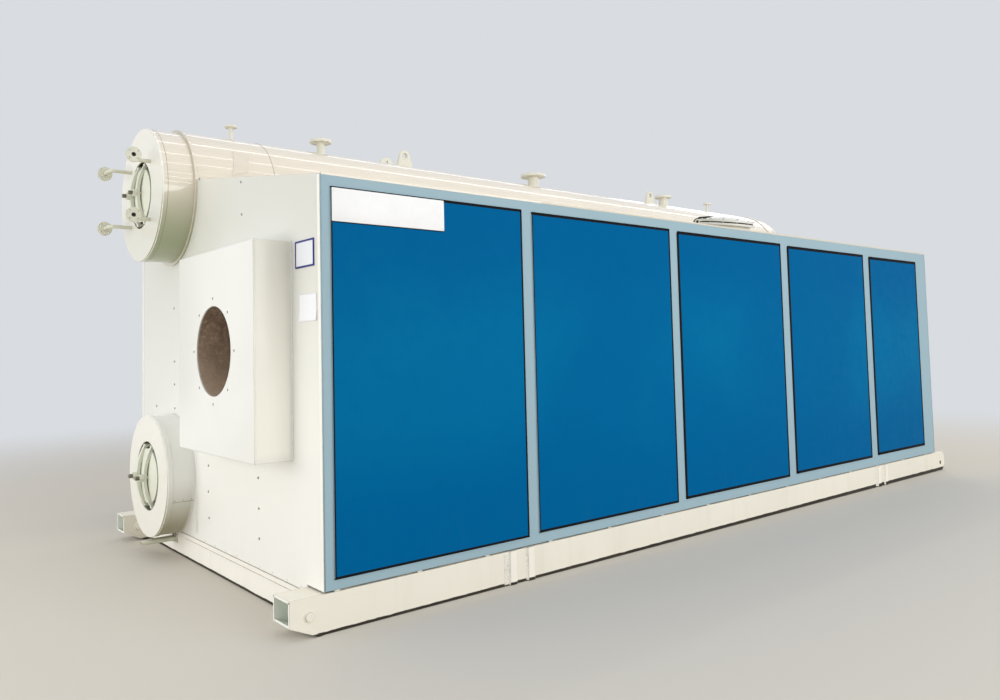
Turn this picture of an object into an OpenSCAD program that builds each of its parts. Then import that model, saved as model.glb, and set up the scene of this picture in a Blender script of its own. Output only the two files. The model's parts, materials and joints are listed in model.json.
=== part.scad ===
// Packaged two-drum water-tube boiler on a skid base, for oil or gas firing.
// Millimetres, +Z up. The burner end faces -Y and the panelled side faces +X.
// Every module is drawn with the front plate's outer face at y = 0, and the
// node list at the end moves all of them so that the origin is in the middle.

/* [Casing] */
// length of the casing, front plate to rear plate
body_l = 8220; // [7600:10:9000]
// width of the casing over its side walls
body_w = 3330; // [3000:10:3700]
// height of the side walls' top edge above the ground
wall_top = 2615; // [2500:5:2800]
// thickness of a wall with its insulation
wall_t = 100; // [80:5:140]
// width of an end plate's folded edge, seen from the side
edge_t = 8; // [8:1:20]
// slope of the roof from a side wall up to the drum, degrees
roof_pitch = 9.4; // [7:0.1:11]
// depth of the roof with its insulation, measured upright
roof_t = 90; // [70:5:120]
// thickness of the roof sheet's edge on top of a side wall
roof_edge_t = 4; // [3:1:12]
// height of the hem that stands up along the roof's edge
hem_h = 10; // [6:1:16]
// thickness of that hem
hem_t = 8; // [5:1:12]
// thickness of the floor between the walls
floor_t = 80; // [60:5:120]
// height of the dark strip between the beams and the walls
foot_gap = 10; // [6:1:16]
// how far the plate in that strip stands back from the walls' faces
foot_recess = 20; // [10:1:40]
// how far an end plate hangs down in front of its cross beam
skirt_h = 41; // [20:1:50]
// thickness of that hanging strip
skirt_t = 6; // [3:1:8]
// gap at each end of the strip and of the sill bar, and between the two
skirt_gap = 4; // [2:1:8]

/* [Skid base] */
// height of the long and the cross beams
beam_h = 222; // [180:2:260]
// width of a long beam
beam_w = 200; // [160:2:220]
// thickness of a beam's upright webs
web_t = 12; // [6:1:16]
// thickness of a beam's flanges
flange_t = 12; // [8:1:18]
// how far a long beam sticks out ahead of the front plate
nose_l = 214; // [180:2:280]
// height of the bevel under the nose
nose_bevel_h = 77; // [50:1:100]
// length of the bevel under the nose
nose_bevel_l = 172; // [120:1:176]
// how far a long beam runs on behind the rear plate
rear_over = 40; // [30:1:80]
// width and depth of the weld seam over a long beam's outer web
seam_w = 5; // [3:1:8]
// width of a cross beam
cross_w = 150; // [100:5:200]
// number of cross beams
cross_n = 6; // [4:1:8]
// height of the sill bar on the outer face of the first and last cross beam
sill_h = 30; // [16:1:40]
// thickness of the sill bar
sill_t = 10; // [7:1:16]
// width of a stiffening rib on a long beam
rib_w = 56; // [40:1:70]
// how far a rib stands out from the web
rib_t = 12; // [8:1:20]
// distance between the two ribs of a pair, centre to centre
rib_pitch = 165; // [120:1:220]
// distance of the front pair of ribs from the front plate
rib_front = 1500; // [1200:10:1800]
// distance of the rear pair of ribs from the rear plate
rib_rear = 1384; // [1200:10:1800]
// radius of the hauling pin through a nose
pin_r = 24; // [18:1:28]
// how far the hauling pin stands out on each side
pin_out = 14; // [8:1:40]
// distance of the hauling pin ahead of the front plate
pin_ahead = 96; // [80:1:120]
// height of the hauling pin above the ground
pin_z = 120; // [100:1:140]
// radius of a towing lug at the rear
lug_r = 106; // [90:1:107]
// thickness of a towing lug
lug_t = 40; // [25:1:60]
// radius of the hole in a towing lug
lug_hole_r = 32; // [20:1:45]
// distance of that hole from the beam's rear end
lug_hole_out = 92; // [70:1:120]
// thickness of the plate that closes a beam's rear end
lug_plate_t = 16; // [10:1:25]

/* [Side panels] */
// distance of the first panel from the front plate
panel_front = 66; // [50:1:120]
// width of the first panel
panel_w1 = 1498; // [1300:1:1550]
// width of the second panel
panel_w2 = 1554; // [1300:1:1600]
// width of the third panel
panel_w3 = 1588; // [1300:1:1640]
// width of the fourth panel
panel_w4 = 1533; // [1300:1:1600]
// width of the fifth panel
panel_w5 = 1171; // [900:1:1300]
// width of the post between panels one and two
post_1 = 106; // [80:1:160]
// width of the post between panels two and three
post_2 = 121; // [80:1:160]
// width of the post between panels three and four
post_3 = 143; // [80:1:160]
// width of the post between panels four and five
post_4 = 154; // [80:1:160]
// height of the frame above the first panel
panel_top_rail = 80; // [50:1:120]
// height of the frame under the first panel
panel_foot_rail = 67; // [50:1:120]
// how much higher both rails get from one panel to the next
panel_step = 12; // [0:1:16]
// thickness of a panel
panel_t = 30; // [20:1:40]
// how far a panel stands out from the frame
panel_out = 6; // [3:1:12]
// width of the black seal round a panel
seal_w = 10; // [6:1:16]
// how far the seal lies under the frame's face
seal_back = 3; // [1:1:6]

/* [Upper drum] */
// distance of the upper drum's axis from the left wall's face
upper_side = 810; // [780:1:860]
// height of the upper drum's axis above the ground
upper_z = 2876; // [2820:1:2920]
// outer radius of the lagging along the casing
upper_r = 549; // [520:1:580]
// outer radius of the lagging on the part ahead of the front plate
upper_end_r = 533; // [500:1:545]
// how far the upper drum sticks out at each end
upper_out = 259; // [230:1:290]
// width of the collar bead round the upper drum
collar_w = 14; // [8:1:20]
// how far the collar stands out from the lagging
collar_h = 10; // [6:1:16]

/* [Lower drum] */
// distance of the lower drum's axis from the left wall's face
lower_side = 845; // [790:1:880]
// height of the lower drum's axis above the ground
lower_z = 634; // [600:1:680]
// outer radius of the lower drum's lagging
lower_r = 468; // [440:1:490]
// how far the lower drum sticks out at each end
lower_out = 216; // [190:1:250]
// width of the band round the end of the lower drum
band_w = 34; // [20:1:50]
// how far that band stands out
band_h = 6; // [3:1:10]

/* [Drum ends] */
// thickness of a drum's shell with its lagging
lagging_t = 50; // [30:1:70]
// thickness of the cover plate on a drum's end
end_t = 12; // [8:1:20]
// radius of the round opening in that cover plate
end_hole_r = 270; // [262:1:300]
// outside radius of curvature of the pressed head
head_dish_r = 900; // [800:10:1200]
// thickness of the pressed head
head_t = 30; // [20:1:40]
// depth of the head's top behind the cover plate's face
head_back = 46; // [40:1:60]
// width of the manhole cover
cover_w = 466; // [440:1:480]
// height of the manhole cover
cover_h = 426; // [400:1:430]
// thickness of the cover's straight edge
cover_edge = 16; // [10:1:24]
// height of the cover's dome
cover_dome = 34; // [24:1:40]
// depth of the cover's seat behind the cover plate's face
seat_back = 20; // [16:1:30]
// width of the seat ring under the cover's edge
seat_w = 36; // [24:1:50]
// distance of a clamping yoke from the manhole's middle
yoke_off = 85; // [70:1:100]
// width of a clamping yoke
yoke_w = 36; // [24:1:44]
// thickness of a clamping yoke
yoke_t = 24; // [16:1:28]
// how far a yoke's top stands out ahead of the cover plate
yoke_top = 60; // [56:1:80]
// half the span of a yoke, middle of the leg to the manhole's middle
yoke_reach = 232; // [228:1:236]
// radius of a yoke's stud
stud_r = 15; // [10:1:20]
// how far a stud stands out ahead of the cover plate
stud_out = 118; // [105:1:130]
// width across the corners of a stud's nut
nut_w = 62; // [50:1:70]
// height of a stud's nut
nut_h = 28; // [20:1:34]

/* [Gauge pipes] */
// sideways distance of a gauge pipe from the drum's axis
gauge_x = 245; // [220:1:260]
// distance of a gauge pipe above or below the drum's axis
gauge_z = 230; // [215:1:250]
// outer radius of a gauge pipe
gauge_r = 15; // [12:1:18]
// bore radius of a gauge pipe
gauge_bore_r = 10; // [6:0.5:11]
// distance from the cover plate to the middle of a gauge pipe's elbow
gauge_out = 171; // [140:1:200]
// bend radius of the elbow
gauge_bend = 45; // [35:1:55]
// distance from the elbow's middle to the flange's face
gauge_arm = 165; // [120:1:200]
// radius of a gauge flange
gauge_flange_r = 57.5; // [50:0.5:65]
// thickness of a gauge flange
gauge_flange_t = 16; // [12:1:22]
// bolt circle diameter of a gauge flange
gauge_pcd = 85; // [75:1:95]
// radius of a bolt hole in a gauge flange
gauge_bolt_r = 7; // [5:0.5:8]

/* [Windbox] */
// distance of the windbox's and burner port's middle from the right wall's face
box_side = 1003; // [960:1:1020]
// width of the windbox
box_w = 1269; // [1150:1:1300]
// height of the windbox's underside above the ground
box_foot = 934; // [900:1:980]
// height of the windbox
box_h = 1328; // [1200:1:1400]
// depth of the windbox ahead of the front plate
box_d = 250; // [200:1:300]
// thickness of the windbox's sheet
box_t = 10; // [6:1:14]
// height of the burner port's middle above the ground
port_z = 1602; // [1560:1:1640]
// radius of the burner port
port_r = 294; // [270:1:310]
// bolt circle diameter round the port
port_pcd = 688; // [670:1:710]
// radius of a bolt hole round the port
port_bolt_r = 9; // [7:0.5:11]
// thickness of the throat's lining
throat_t = 30; // [20:1:36]
// how far the throat runs on behind the front plate
throat_in = 320; // [200:5:400]

/* [Top fittings] */
// distance of the vent nozzle from the front plate
vent_y = 500; // [400:5:700]
// distance of the small steam nozzle from the front plate
nozzle_a_y = 1374; // [1200:1:1600]
// distance of the main steam nozzle from the front plate
nozzle_b_y = 4110; // [3900:1:4400]
// distance of the safety valve nozzle from the front plate
nozzle_c_y = 6494; // [6400:1:6700]
// distance of the rear vent nozzle from the front plate
nozzle_d_y = 7485; // [7300:1:7700]
// height of the flanges' faces above the top of the lagging
nozzle_h = 142; // [110:1:180]
// radius of the vent flanges
vent_flange_r = 52; // [45:1:60]
// radius of the vent pipes
vent_r = 17; // [12:1:22]
// radius of the small steam flange
a_flange_r = 100; // [90:1:110]
// radius of the small steam pipe
a_r = 36; // [30:1:45]
// radius of the main steam flange
b_flange_r = 142; // [130:1:155]
// radius of the main steam pipe
b_r = 62; // [50:1:75]
// radius of the safety valve flange
c_flange_r = 108; // [100:1:120]
// radius of the safety valve pipe
c_r = 56; // [45:1:62]
// bore radius of the vent pipes
vent_bore_r = 12; // [8:1:14]
// bolt circle diameter of the vent flanges
vent_pcd = 76; // [72:1:84]
// bore radius of the small steam pipe
a_bore_r = 29; // [20:1:31]
// bolt circle diameter of the small steam flange
a_pcd = 160; // [140:1:170]
// bore radius of the main steam pipe
b_bore_r = 54; // [40:1:57]
// bolt circle diameter of the main steam flange
b_pcd = 240; // [220:1:250]
// bore radius of the safety valve pipe
c_bore_r = 48; // [36:1:52]
// bolt circle diameter of the safety valve flange
c_pcd = 180; // [168:1:190]
// radius of a bolt hole in the steam flanges
steam_bolt_r = 9; // [7:0.5:11]
// radius of a bolt hole in the vent flanges
vent_bolt_r = 6; // [5:0.5:7]
// thickness of the vent flanges
vent_flange_t = 18; // [12:1:24]
// thickness of the steam flanges
top_flange_t = 26; // [18:1:34]
// distance of the front lifting lug from the front plate
lift_front_y = 2322; // [2200:1:2450]
// distance of the rear lifting lug from the front plate
lift_rear_y = 6208; // [6000:1:6300]
// length of a lifting lug at its foot
lift_l = 190; // [150:1:240]
// thickness of a lifting lug
lift_t = 30; // [20:1:45]
// height of a lifting lug's top above the lagging
lift_h = 178; // [150:1:200]
// radius of a lifting lug's round top
lift_top_r = 60; // [50:1:75]
// radius of the eye of a lifting lug
lift_eye_r = 28; // [20:1:34]
// distance of that eye's middle below the lug's top
lift_eye_down = 56; // [48:1:62]
// distance of the small guy lug behind the front plate
guy_y = 2107; // [2050:1:2140]
// radius of the half-round guy lug
guy_r = 78; // [60:1:84]
// thickness of the guy lug
guy_t = 20; // [12:1:30]
// radius of the hole in the guy lug
guy_hole_r = 13; // [8:1:18]
// height of that hole above the lagging
guy_hole_up = 32; // [25:1:45]

/* [Relief door] */
// distance of the relief door's middle from the right wall's face
relief_side = 420; // [390:1:520]
// distance of the relief door from the front plate
relief_y = 4690; // [4400:5:5300]
// outer radius of the relief door's neck
relief_r = 222; // [200:1:230]
// thickness of the neck
relief_neck_t = 12; // [8:1:16]
// height of the neck's top above the roof
relief_neck_h = 70; // [60:1:100]
// radius of the neck's flange
relief_flange_r = 268; // [262:1:276]
// thickness of the neck's flange
relief_flange_t = 20; // [14:1:24]
// outer radius of the seal between flange and lid
relief_seal_r = 243; // [236:1:248]
// thickness of the seal
relief_seal_t = 12; // [8:1:16]
// radius of the lid
relief_lid_r = 256; // [252:1:260]
// thickness of the lid's edge
relief_lid_t = 22; // [16:1:28]
// radius of the lid's dome at its foot
relief_dome_r = 226; // [210:1:236]
// height of the lid's dome
relief_dome = 42; // [30:1:50]
// distance of the hinge pin from the lid's middle
hinge_off = 292; // [288:1:300]
// height of the hinge pin above the roof
hinge_h = 84; // [78:1:90]
// radius of the hinge pin
hinge_pin_r = 14; // [10:1:16]
// running clearance of the hinge pin in its ears
hinge_fit = 0.3; // [0.2:0.1:0.6]
// radius of a hinge ear's round end
hinge_ear_r = 30; // [26:1:32]
// thickness of a hinge ear
hinge_ear_t = 12; // [8:1:16]
// distance between the two hinge ears
hinge_gap = 100; // [80:1:120]
// width of the lid's hinge strap
strap_w = 84; // [60:1:90]
// thickness of the strap
strap_t = 14; // [10:1:18]
// radius of the strap's bend over the hinge, to its outer face
strap_r = 117; // [112:1:120]
// depth of that bend's centre below the pin
strap_drop = 64; // [60:1:68]
// distance of that bend's centre from the pin, towards the lid
strap_ahead = 30; // [26:1:34]
// length of the strap's straight end over the lid
strap_l = 90; // [70:1:100]
// slope of that end against the roof, degrees
strap_slope = 5; // [3:0.5:7]

/* [Drain] */
// distance of the drain pipes' middle from the lower drum's axis
drain_off = 0; // [-60:1:60]
// outer radius of a drain pipe
drain_r = 17; // [13:1:21]
// bore radius of a drain pipe
drain_bore_r = 13; // [8:1:15]
// distance between the two drain pipes
drain_pitch = 46; // [44:1:70]
// height of the drain pipes above the ground
drain_z = 118; // [90:1:140]
// how far the longer drain pipe sticks out ahead of the front beam
drain_out = 276; // [200:1:320]
// how much shorter the other drain pipe is
drain_short = 90; // [40:1:150]
// thickness of the drain's plate on the front beam
drain_plate_t = 10; // [6:1:14]
// width of that plate
drain_plate_w = 96; // [84:1:120]
// height of that plate
drain_plate_h = 64; // [50:1:70]

/* [Hidden] */
$fn = 96;
foot_z = beam_h + foot_gap;
half_w = body_w / 2;
upper_x = -half_w + upper_side;
lower_x = -half_w + lower_side;
box_x = half_w - box_side;
relief_x = half_w - relief_side;
pitch_t = tan(roof_pitch);
sill_top = foot_z - skirt_h - skirt_gap;
cross_l = body_w - 2 * beam_w;
panel_y1 = panel_front;
panel_y2 = panel_y1 + panel_w1 + post_1;
panel_y3 = panel_y2 + panel_w2 + post_2;
panel_y4 = panel_y3 + panel_w3 + post_3;
panel_y5 = panel_y4 + panel_w4 + post_4;
pocket_t = panel_t - panel_out;
upper_top = upper_z + upper_r;
flange_z = upper_top + nozzle_h;
front_reach = upper_out + gauge_out + gauge_flange_r;
rear_reach = body_l + upper_out + stud_out;
shift_y = (front_reach - rear_reach) / 2;
yoke_rad = (yoke_reach * yoke_reach + yoke_top * yoke_top) / (2 * yoke_top);
cover_rad = (cover_h * cover_h / 4 + cover_dome * cover_dome) / (2 * cover_dome);
relief_z = wall_top + pitch_t * relief_side;

// which part to draw

// heights of the roof's upper face over the right and over the left side
function roof_right_z(x) = wall_top + pitch_t * (half_w - x);
function roof_left_z(x) = wall_top + pitch_t * (half_w + x);

// heights of the foot and of the top of panel i, counted from the front
function panel_foot(i) = foot_z + panel_foot_rail + (i - 1) * panel_step;
function panel_top(i) = wall_top - panel_top_rail - (i - 1) * panel_step;

// moves a piece drawn from the front plate to its place round the origin
module placed() {
  translate([0, shift_y, 0])
    children();
}

// a flat shape in x and z, drawn out along y from y0
module along_y(y0, l) {
  translate([0, y0 + l, 0])
    rotate([90, 0, 0])
      linear_extrude(l)
        children();
}

// a flat shape in y and z, drawn out along x from x0
module along_x(x0, l) {
  translate([x0, 0, 0])
    rotate([90, 0, 90])
      linear_extrude(l)
        children();
}

// a round bar along y from y0
module rod_y(x, z, r, y0, l) {
  translate([x, y0 + l, z])
    rotate([90, 0, 0])
      cylinder(r = r, h = l);
}

// a shape with two half-round ends, w wide and h high
module slot_shape(w, h) {
  r = min(w, h) / 2;
  dx = w / 2 - r;
  dy = h / 2 - r;
  translate([-dx, -dy]) circle(r = r);
  translate([dx, dy]) circle(r = r);
  square([2 * max(dx, r * (dy > 0 ? 1 : 0)), 2 * max(dy, r * (dx > 0 ? 1 : 0))], center = true);
}

// the casing's cross section, set in from the sides, the foot and the top
module casing_section(side, foot, top) {
  polygon([
    [-half_w + side, foot_z + foot],
    [half_w - side, foot_z + foot],
    [half_w - side, roof_right_z(half_w - side) - top],
    [upper_x, roof_right_z(upper_x) - top],
    [upper_x, roof_left_z(upper_x) - top],
    [-half_w + side, roof_left_z(-half_w + side) - top]
  ]);
}

module upper_core() {
  rod_y(upper_x, upper_z, upper_r, -wall_t, body_l + 2 * wall_t);
}

module lower_core() {
  rod_y(lower_x, lower_z, lower_r, -wall_t, body_l + 2 * wall_t);
}

// side view of a long beam, with its bevelled nose
module beam_outline() {
  polygon([
    [-nose_l, nose_bevel_h],
    [-nose_l + nose_bevel_l, 0],
    [body_l + rear_over, 0],
    [body_l + rear_over, beam_h],
    [-nose_l, beam_h]
  ]);
}

module beam_inside() {
  slope = atan2(nose_bevel_h, nose_bevel_l);
  drop = flange_t / cos(slope);
  knee = -nose_l + nose_bevel_l + (drop - flange_t) / tan(slope);
  polygon([
    [-nose_l - 10, nose_bevel_h + 10 * tan(slope) + drop],
    [knee, flange_t],
    [body_l + rear_over + 10, flange_t],
    [body_l + rear_over + 10, beam_h - flange_t],
    [-nose_l - 10, beam_h - flange_t]
  ]);
}

// a long beam with its outer web at x = 0 and its body towards -x
module long_beam() {
  difference() {
    union() {
      along_x(-beam_w, beam_w) beam_outline();
      for (y = [rib_front, body_l - rib_rear])
        for (k = [-1, 1])
          translate([0, y + k * rib_pitch / 2 - rib_w / 2, 0])
            cube([rib_t, rib_w, beam_h]);
    }
    along_x(-beam_w + web_t, beam_w - 2 * web_t) beam_inside();
    translate([-web_t - seam_w / 2, -nose_l - 1, beam_h - seam_w])
      cube([seam_w, body_l + nose_l + rear_over + 2, seam_w + 1]);
    translate([-beam_w - 1, -pin_ahead, pin_z])
      rotate([0, 90, 0])
        cylinder(r = pin_r, h = beam_w + 2);
  }
}

module base_beam_right() {
  color([0.91, 0.89, 0.83]) placed()
    translate([half_w, 0, 0])
      long_beam();
}

module base_beam_left() {
  color([0.91, 0.89, 0.83]) placed()
    mirror([1, 0, 0])
      translate([half_w, 0, 0])
        long_beam();
}

module cross_beam(y) {
  difference() {
    union() {
      difference() {
        translate([-cross_l / 2, y, 0])
          cube([cross_l, cross_w, beam_h]);
        translate([-cross_l / 2 - 1, y + web_t, flange_t])
          cube([cross_l + 2, cross_w - 2 * web_t, beam_h - 2 * flange_t]);
      }
      intersection() {
        translate([-cross_l / 2, y, 0])
          cube([cross_l, cross_w, beam_h]);
        rod_y(lower_x, lower_z, lower_r + flange_t, y, cross_w);
      }
    }
    lower_core();
  }
}

// the bar that carries the edge of an end plate, on the front cross beam
module sill_bar() {
  difference() {
    translate([-cross_l / 2 + skirt_gap, skirt_t - sill_t, sill_top - sill_h])
      cube([cross_l - 2 * skirt_gap, sill_t + 1, sill_h]);
    lower_core();
  }
}

module cross_beams() {
  color([0.91, 0.89, 0.83]) placed() {
    for (i = [0 : cross_n - 1])
      cross_beam(skirt_t + i * (body_l - cross_w - 2 * skirt_t) / (cross_n - 1));
    sill_bar();
    translate([0, body_l, 0])
      mirror([0, 1, 0])
        sill_bar();
  }
}

module hauling_pins() {
  color([0.86, 0.84, 0.78]) placed()
    for (k = [-1, 1])
      translate([k * (half_w - beam_w / 2), -pin_ahead, pin_z])
        rotate([0, 90, 0])
          cylinder(r = pin_r, h = beam_w + 2 * pin_out, center = true);
}

module towing_lugs() {
  color([0.91, 0.89, 0.83]) placed()
    for (k = [-1, 1])
      translate([k * (half_w - beam_w / 2), body_l + rear_over, 0]) {
        translate([-beam_w / 2, 0, 0])
          cube([beam_w, lug_plate_t, beam_h]);
        difference() {
          union() {
            translate([-lug_t / 2, lug_plate_t, beam_h / 2 - lug_r])
              cube([lug_t, lug_hole_out - lug_plate_t, 2 * lug_r]);
            translate([-lug_t / 2, lug_hole_out, beam_h / 2])
              rotate([0, 90, 0])
                cylinder(r = lug_r, h = lug_t);
          }
          translate([-lug_t / 2 - 1, lug_hole_out, beam_h / 2])
            rotate([0, 90, 0])
              cylinder(r = lug_hole_r, h = lug_t + 2);
        }
      }
}

module floor_plate() {
  color([0.30, 0.30, 0.29]) placed()
    difference() {
      union() {
        translate([-half_w + foot_recess, foot_recess, beam_h])
          cube([body_w - 2 * foot_recess, body_l - 2 * foot_recess, foot_gap]);
        translate([-half_w + wall_t, edge_t, foot_z])
          cube([body_w - 2 * wall_t, body_l - 2 * edge_t, floor_t]);
      }
      lower_core();
    }
}

// an end wall with its outer face at y = 0 and its insulation behind it
module end_wall() {
  difference() {
    union() {
      along_y(0, edge_t) casing_section(0, 0, 0);
      translate([-cross_l / 2 + skirt_gap, 0, foot_z - skirt_h])
        cube([cross_l - 2 * skirt_gap, skirt_t, skirt_h + 1]);
      along_y(edge_t, wall_t - edge_t) casing_section(wall_t, floor_t, roof_t);
    }
    upper_core();
    lower_core();
  }
}

module front_wall() {
  color([0.93, 0.92, 0.87]) placed()
    difference() {
      end_wall();
      rod_y(box_x, port_z, port_r + throat_t, -1, wall_t + 2);
    }
}

module rear_wall() {
  color([0.93, 0.92, 0.87]) placed()
    translate([0, body_l, 0])
      mirror([0, 1, 0])
        end_wall();
}

// a block as wide and high as panel i, grown by some amount all round, from x0
module panel_block(i, y, w, x0, t, grow) {
  translate([x0, y - grow, panel_foot(i) - grow])
    cube([t, w + 2 * grow, panel_top(i) - panel_foot(i) + 2 * grow]);
}

// a pocket for one panel and the seal round it
module pocket(i, y, w) {
  panel_block(i, y, w, half_w - pocket_t, pocket_t + 1, seal_w);
}

module all_pockets() {
  pocket(1, panel_y1, panel_w1);
  pocket(2, panel_y2, panel_w2);
  pocket(3, panel_y3, panel_w3);
  pocket(4, panel_y4, panel_w4);
  pocket(5, panel_y5, panel_w5);
}

module side_wall() {
  difference() {
    along_y(edge_t, body_l - 2 * edge_t)
      polygon([
        [half_w - wall_t, foot_z],
        [half_w, foot_z],
        [half_w, wall_top - roof_edge_t],
        [half_w - wall_t, roof_right_z(half_w - wall_t) - roof_edge_t]
      ]);
    all_pockets();
  }
}

module right_wall() {
  color([0.62, 0.725, 0.77]) placed()
    side_wall();
}

module left_wall() {
  color([0.62, 0.725, 0.77]) placed()
    mirror([1, 0, 0])
      side_wall();
}

module panel(i, y, w) {
  panel_block(i, y, w, half_w - pocket_t, panel_t, 0);
}

module right_panel_1() {
  color([0.0, 0.38, 0.61]) placed()
    panel(1, panel_y1, panel_w1);
}

module right_panel_2() {
  color([0.0, 0.38, 0.61]) placed()
    panel(2, panel_y2, panel_w2);
}

module right_panel_3() {
  color([0.0, 0.38, 0.61]) placed()
    panel(3, panel_y3, panel_w3);
}

module right_panel_4() {
  color([0.0, 0.38, 0.61]) placed()
    panel(4, panel_y4, panel_w4);
}

module right_panel_5() {
  color([0.0, 0.38, 0.61]) placed()
    panel(5, panel_y5, panel_w5);
}

module left_panels() {
  color([0.0, 0.38, 0.61]) placed()
    mirror([1, 0, 0]) {
      panel(1, panel_y1, panel_w1);
      panel(2, panel_y2, panel_w2);
      panel(3, panel_y3, panel_w3);
      panel(4, panel_y4, panel_w4);
      panel(5, panel_y5, panel_w5);
    }
}

module seal(i, y, w) {
  difference() {
    panel_block(i, y, w, half_w - pocket_t, pocket_t - seal_back, seal_w);
    panel_block(i, y, w, half_w - pocket_t - 1, pocket_t + 2, 0);
  }
}

module side_seals() {
  seal(1, panel_y1, panel_w1);
  seal(2, panel_y2, panel_w2);
  seal(3, panel_y3, panel_w3);
  seal(4, panel_y4, panel_w4);
  seal(5, panel_y5, panel_w5);
}

module panel_seals() {
  color([0.04, 0.04, 0.05]) placed() {
    side_seals();
    mirror([1, 0, 0]) side_seals();
  }
}

module relief_hole() {
  translate([relief_x, relief_y, relief_z])
    rotate([0, roof_pitch, 0])
      cylinder(r = relief_r, h = 4 * roof_t, center = true);
}

module roof_right() {
  inner = half_w - wall_t;
  color([0.93, 0.91, 0.85]) placed()
    difference() {
      along_y(edge_t, body_l - 2 * edge_t)
        polygon([
          [half_w, wall_top - roof_edge_t],
          [half_w, wall_top + hem_h],
          [half_w - hem_t, wall_top + hem_h],
          [half_w - hem_t, roof_right_z(half_w - hem_t)],
          [upper_x, roof_right_z(upper_x)],
          [upper_x, roof_right_z(upper_x) - roof_t],
          [inner, roof_right_z(inner) - roof_t],
          [inner, roof_right_z(inner) - roof_edge_t]
        ]);
      upper_core();
      relief_hole();
    }
}

module roof_left() {
  inner = -half_w + wall_t;
  color([0.93, 0.91, 0.85]) placed()
    difference() {
      along_y(edge_t, body_l - 2 * edge_t)
        polygon([
          [-half_w, wall_top - roof_edge_t],
          [-half_w, wall_top + hem_h],
          [-half_w + hem_t, wall_top + hem_h],
          [-half_w + hem_t, roof_left_z(-half_w + hem_t)],
          [upper_x, roof_left_z(upper_x)],
          [upper_x, roof_left_z(upper_x) - roof_t],
          [inner, roof_left_z(inner) - roof_t],
          [inner, roof_left_z(inner) - roof_edge_t]
        ]);
      upper_core();
    }
}

module upper_drum_shell() {
  out = upper_out - end_t;
  color([0.94, 0.90, 0.85]) placed()
    difference() {
      union() {
        rod_y(upper_x, upper_z, upper_r, 0, body_l);
        rod_y(upper_x, upper_z, upper_end_r, -out, body_l + 2 * out);
      }
      rod_y(upper_x, upper_z, upper_end_r - lagging_t, -out - 1, body_l + 2 * out + 2);
      crown_hole(vent_y, vent_r);
      crown_hole(nozzle_a_y, a_r);
      crown_hole(nozzle_b_y, b_r);
      crown_hole(nozzle_c_y, c_r);
      crown_hole(nozzle_d_y, vent_r);
    }
}

module collar() {
  difference() {
    rod_y(upper_x, upper_z, upper_r + collar_h, -collar_w, collar_w);
    rod_y(upper_x, upper_z, upper_end_r, -collar_w - 1, collar_w + 2);
  }
}

module upper_drum_collars() {
  color([0.95, 0.92, 0.87]) placed() {
    collar();
    translate([0, body_l, 0])
      mirror([0, 1, 0])
        collar();
  }
}

module lower_drum_shell() {
  out = lower_out - end_t;
  color([0.90, 0.90, 0.84]) placed()
    difference() {
      union() {
        rod_y(lower_x, lower_z, lower_r, -out, body_l + 2 * out);
        rod_y(lower_x, lower_z, lower_r + band_h, -out, band_w);
        rod_y(lower_x, lower_z, lower_r + band_h, body_l + out - band_w, band_w);
      }
      rod_y(lower_x, lower_z, lower_r - lagging_t, -out - 1, body_l + 2 * out + 2);
    }
}

// puts a drum end, drawn with its cover plate's face at z = 0 and looking
// along +z, on the front of a drum, or on its rear
module at_front(x, out, z) {
  translate([x, -out, z])
    rotate([90, 0, 0])
      children();
}

module at_rear(x, out, z) {
  translate([0, body_l, 0])
    mirror([0, 1, 0])
      at_front(x, out, z)
        children();
}

module end_cover(r) {
  translate([0, 0, -end_t])
    difference() {
      cylinder(r = r, h = end_t);
      translate([0, 0, -1])
        cylinder(r = end_hole_r, h = end_t + 2);
    }
}

module gauge_holes() {
  for (i = [-1, 1])
    for (k = [-1, 1])
      translate([i * gauge_x, k * gauge_z, -end_t - 1])
        cylinder(r = gauge_r, h = end_t + 2);
}

module upper_front_cover() {
  color([0.94, 0.92, 0.88]) placed()
    at_front(upper_x, upper_out, upper_z)
      difference() {
        end_cover(upper_end_r);
        gauge_holes();
      }
}

module upper_rear_cover() {
  color([0.94, 0.92, 0.88]) placed()
    at_rear(upper_x, upper_out, upper_z)
      end_cover(upper_end_r);
}

module lower_front_cover() {
  color([0.95, 0.94, 0.90]) placed()
    at_front(lower_x, lower_out, lower_z)
      end_cover(lower_r + band_h);
}

module lower_rear_cover() {
  color([0.95, 0.94, 0.90]) placed()
    at_rear(lower_x, lower_out, lower_z)
      end_cover(lower_r + band_h);
}

// the pressed head with its manhole and the seat ring round it
module drum_head(r) {
  rim = head_back + head_dish_r - sqrt(head_dish_r * head_dish_r - r * r);
  difference() {
    union() {
      intersection() {
        translate([0, 0, -rim - head_t])
          cylinder(r = r, h = rim + head_t);
        translate([0, 0, -head_back - head_dish_r])
          sphere(r = head_dish_r, $fn = 200);
      }
      translate([0, 0, -head_back - head_t])
        linear_extrude(head_back + head_t - seat_back)
          slot_shape(cover_w - 8, cover_h - 8);
    }
    intersection() {
      translate([0, 0, -head_back - head_dish_r])
        sphere(r = head_dish_r - head_t, $fn = 200);
      translate([0, 0, -head_back - 2 * head_dish_r])
        cylinder(r = r + 1, h = 2 * head_dish_r);
    }
    translate([0, 0, -2 * head_back - head_t])
      linear_extrude(3 * head_back + head_t)
        slot_shape(cover_w - 2 * seat_w, cover_h - 2 * seat_w);
  }
}

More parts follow.
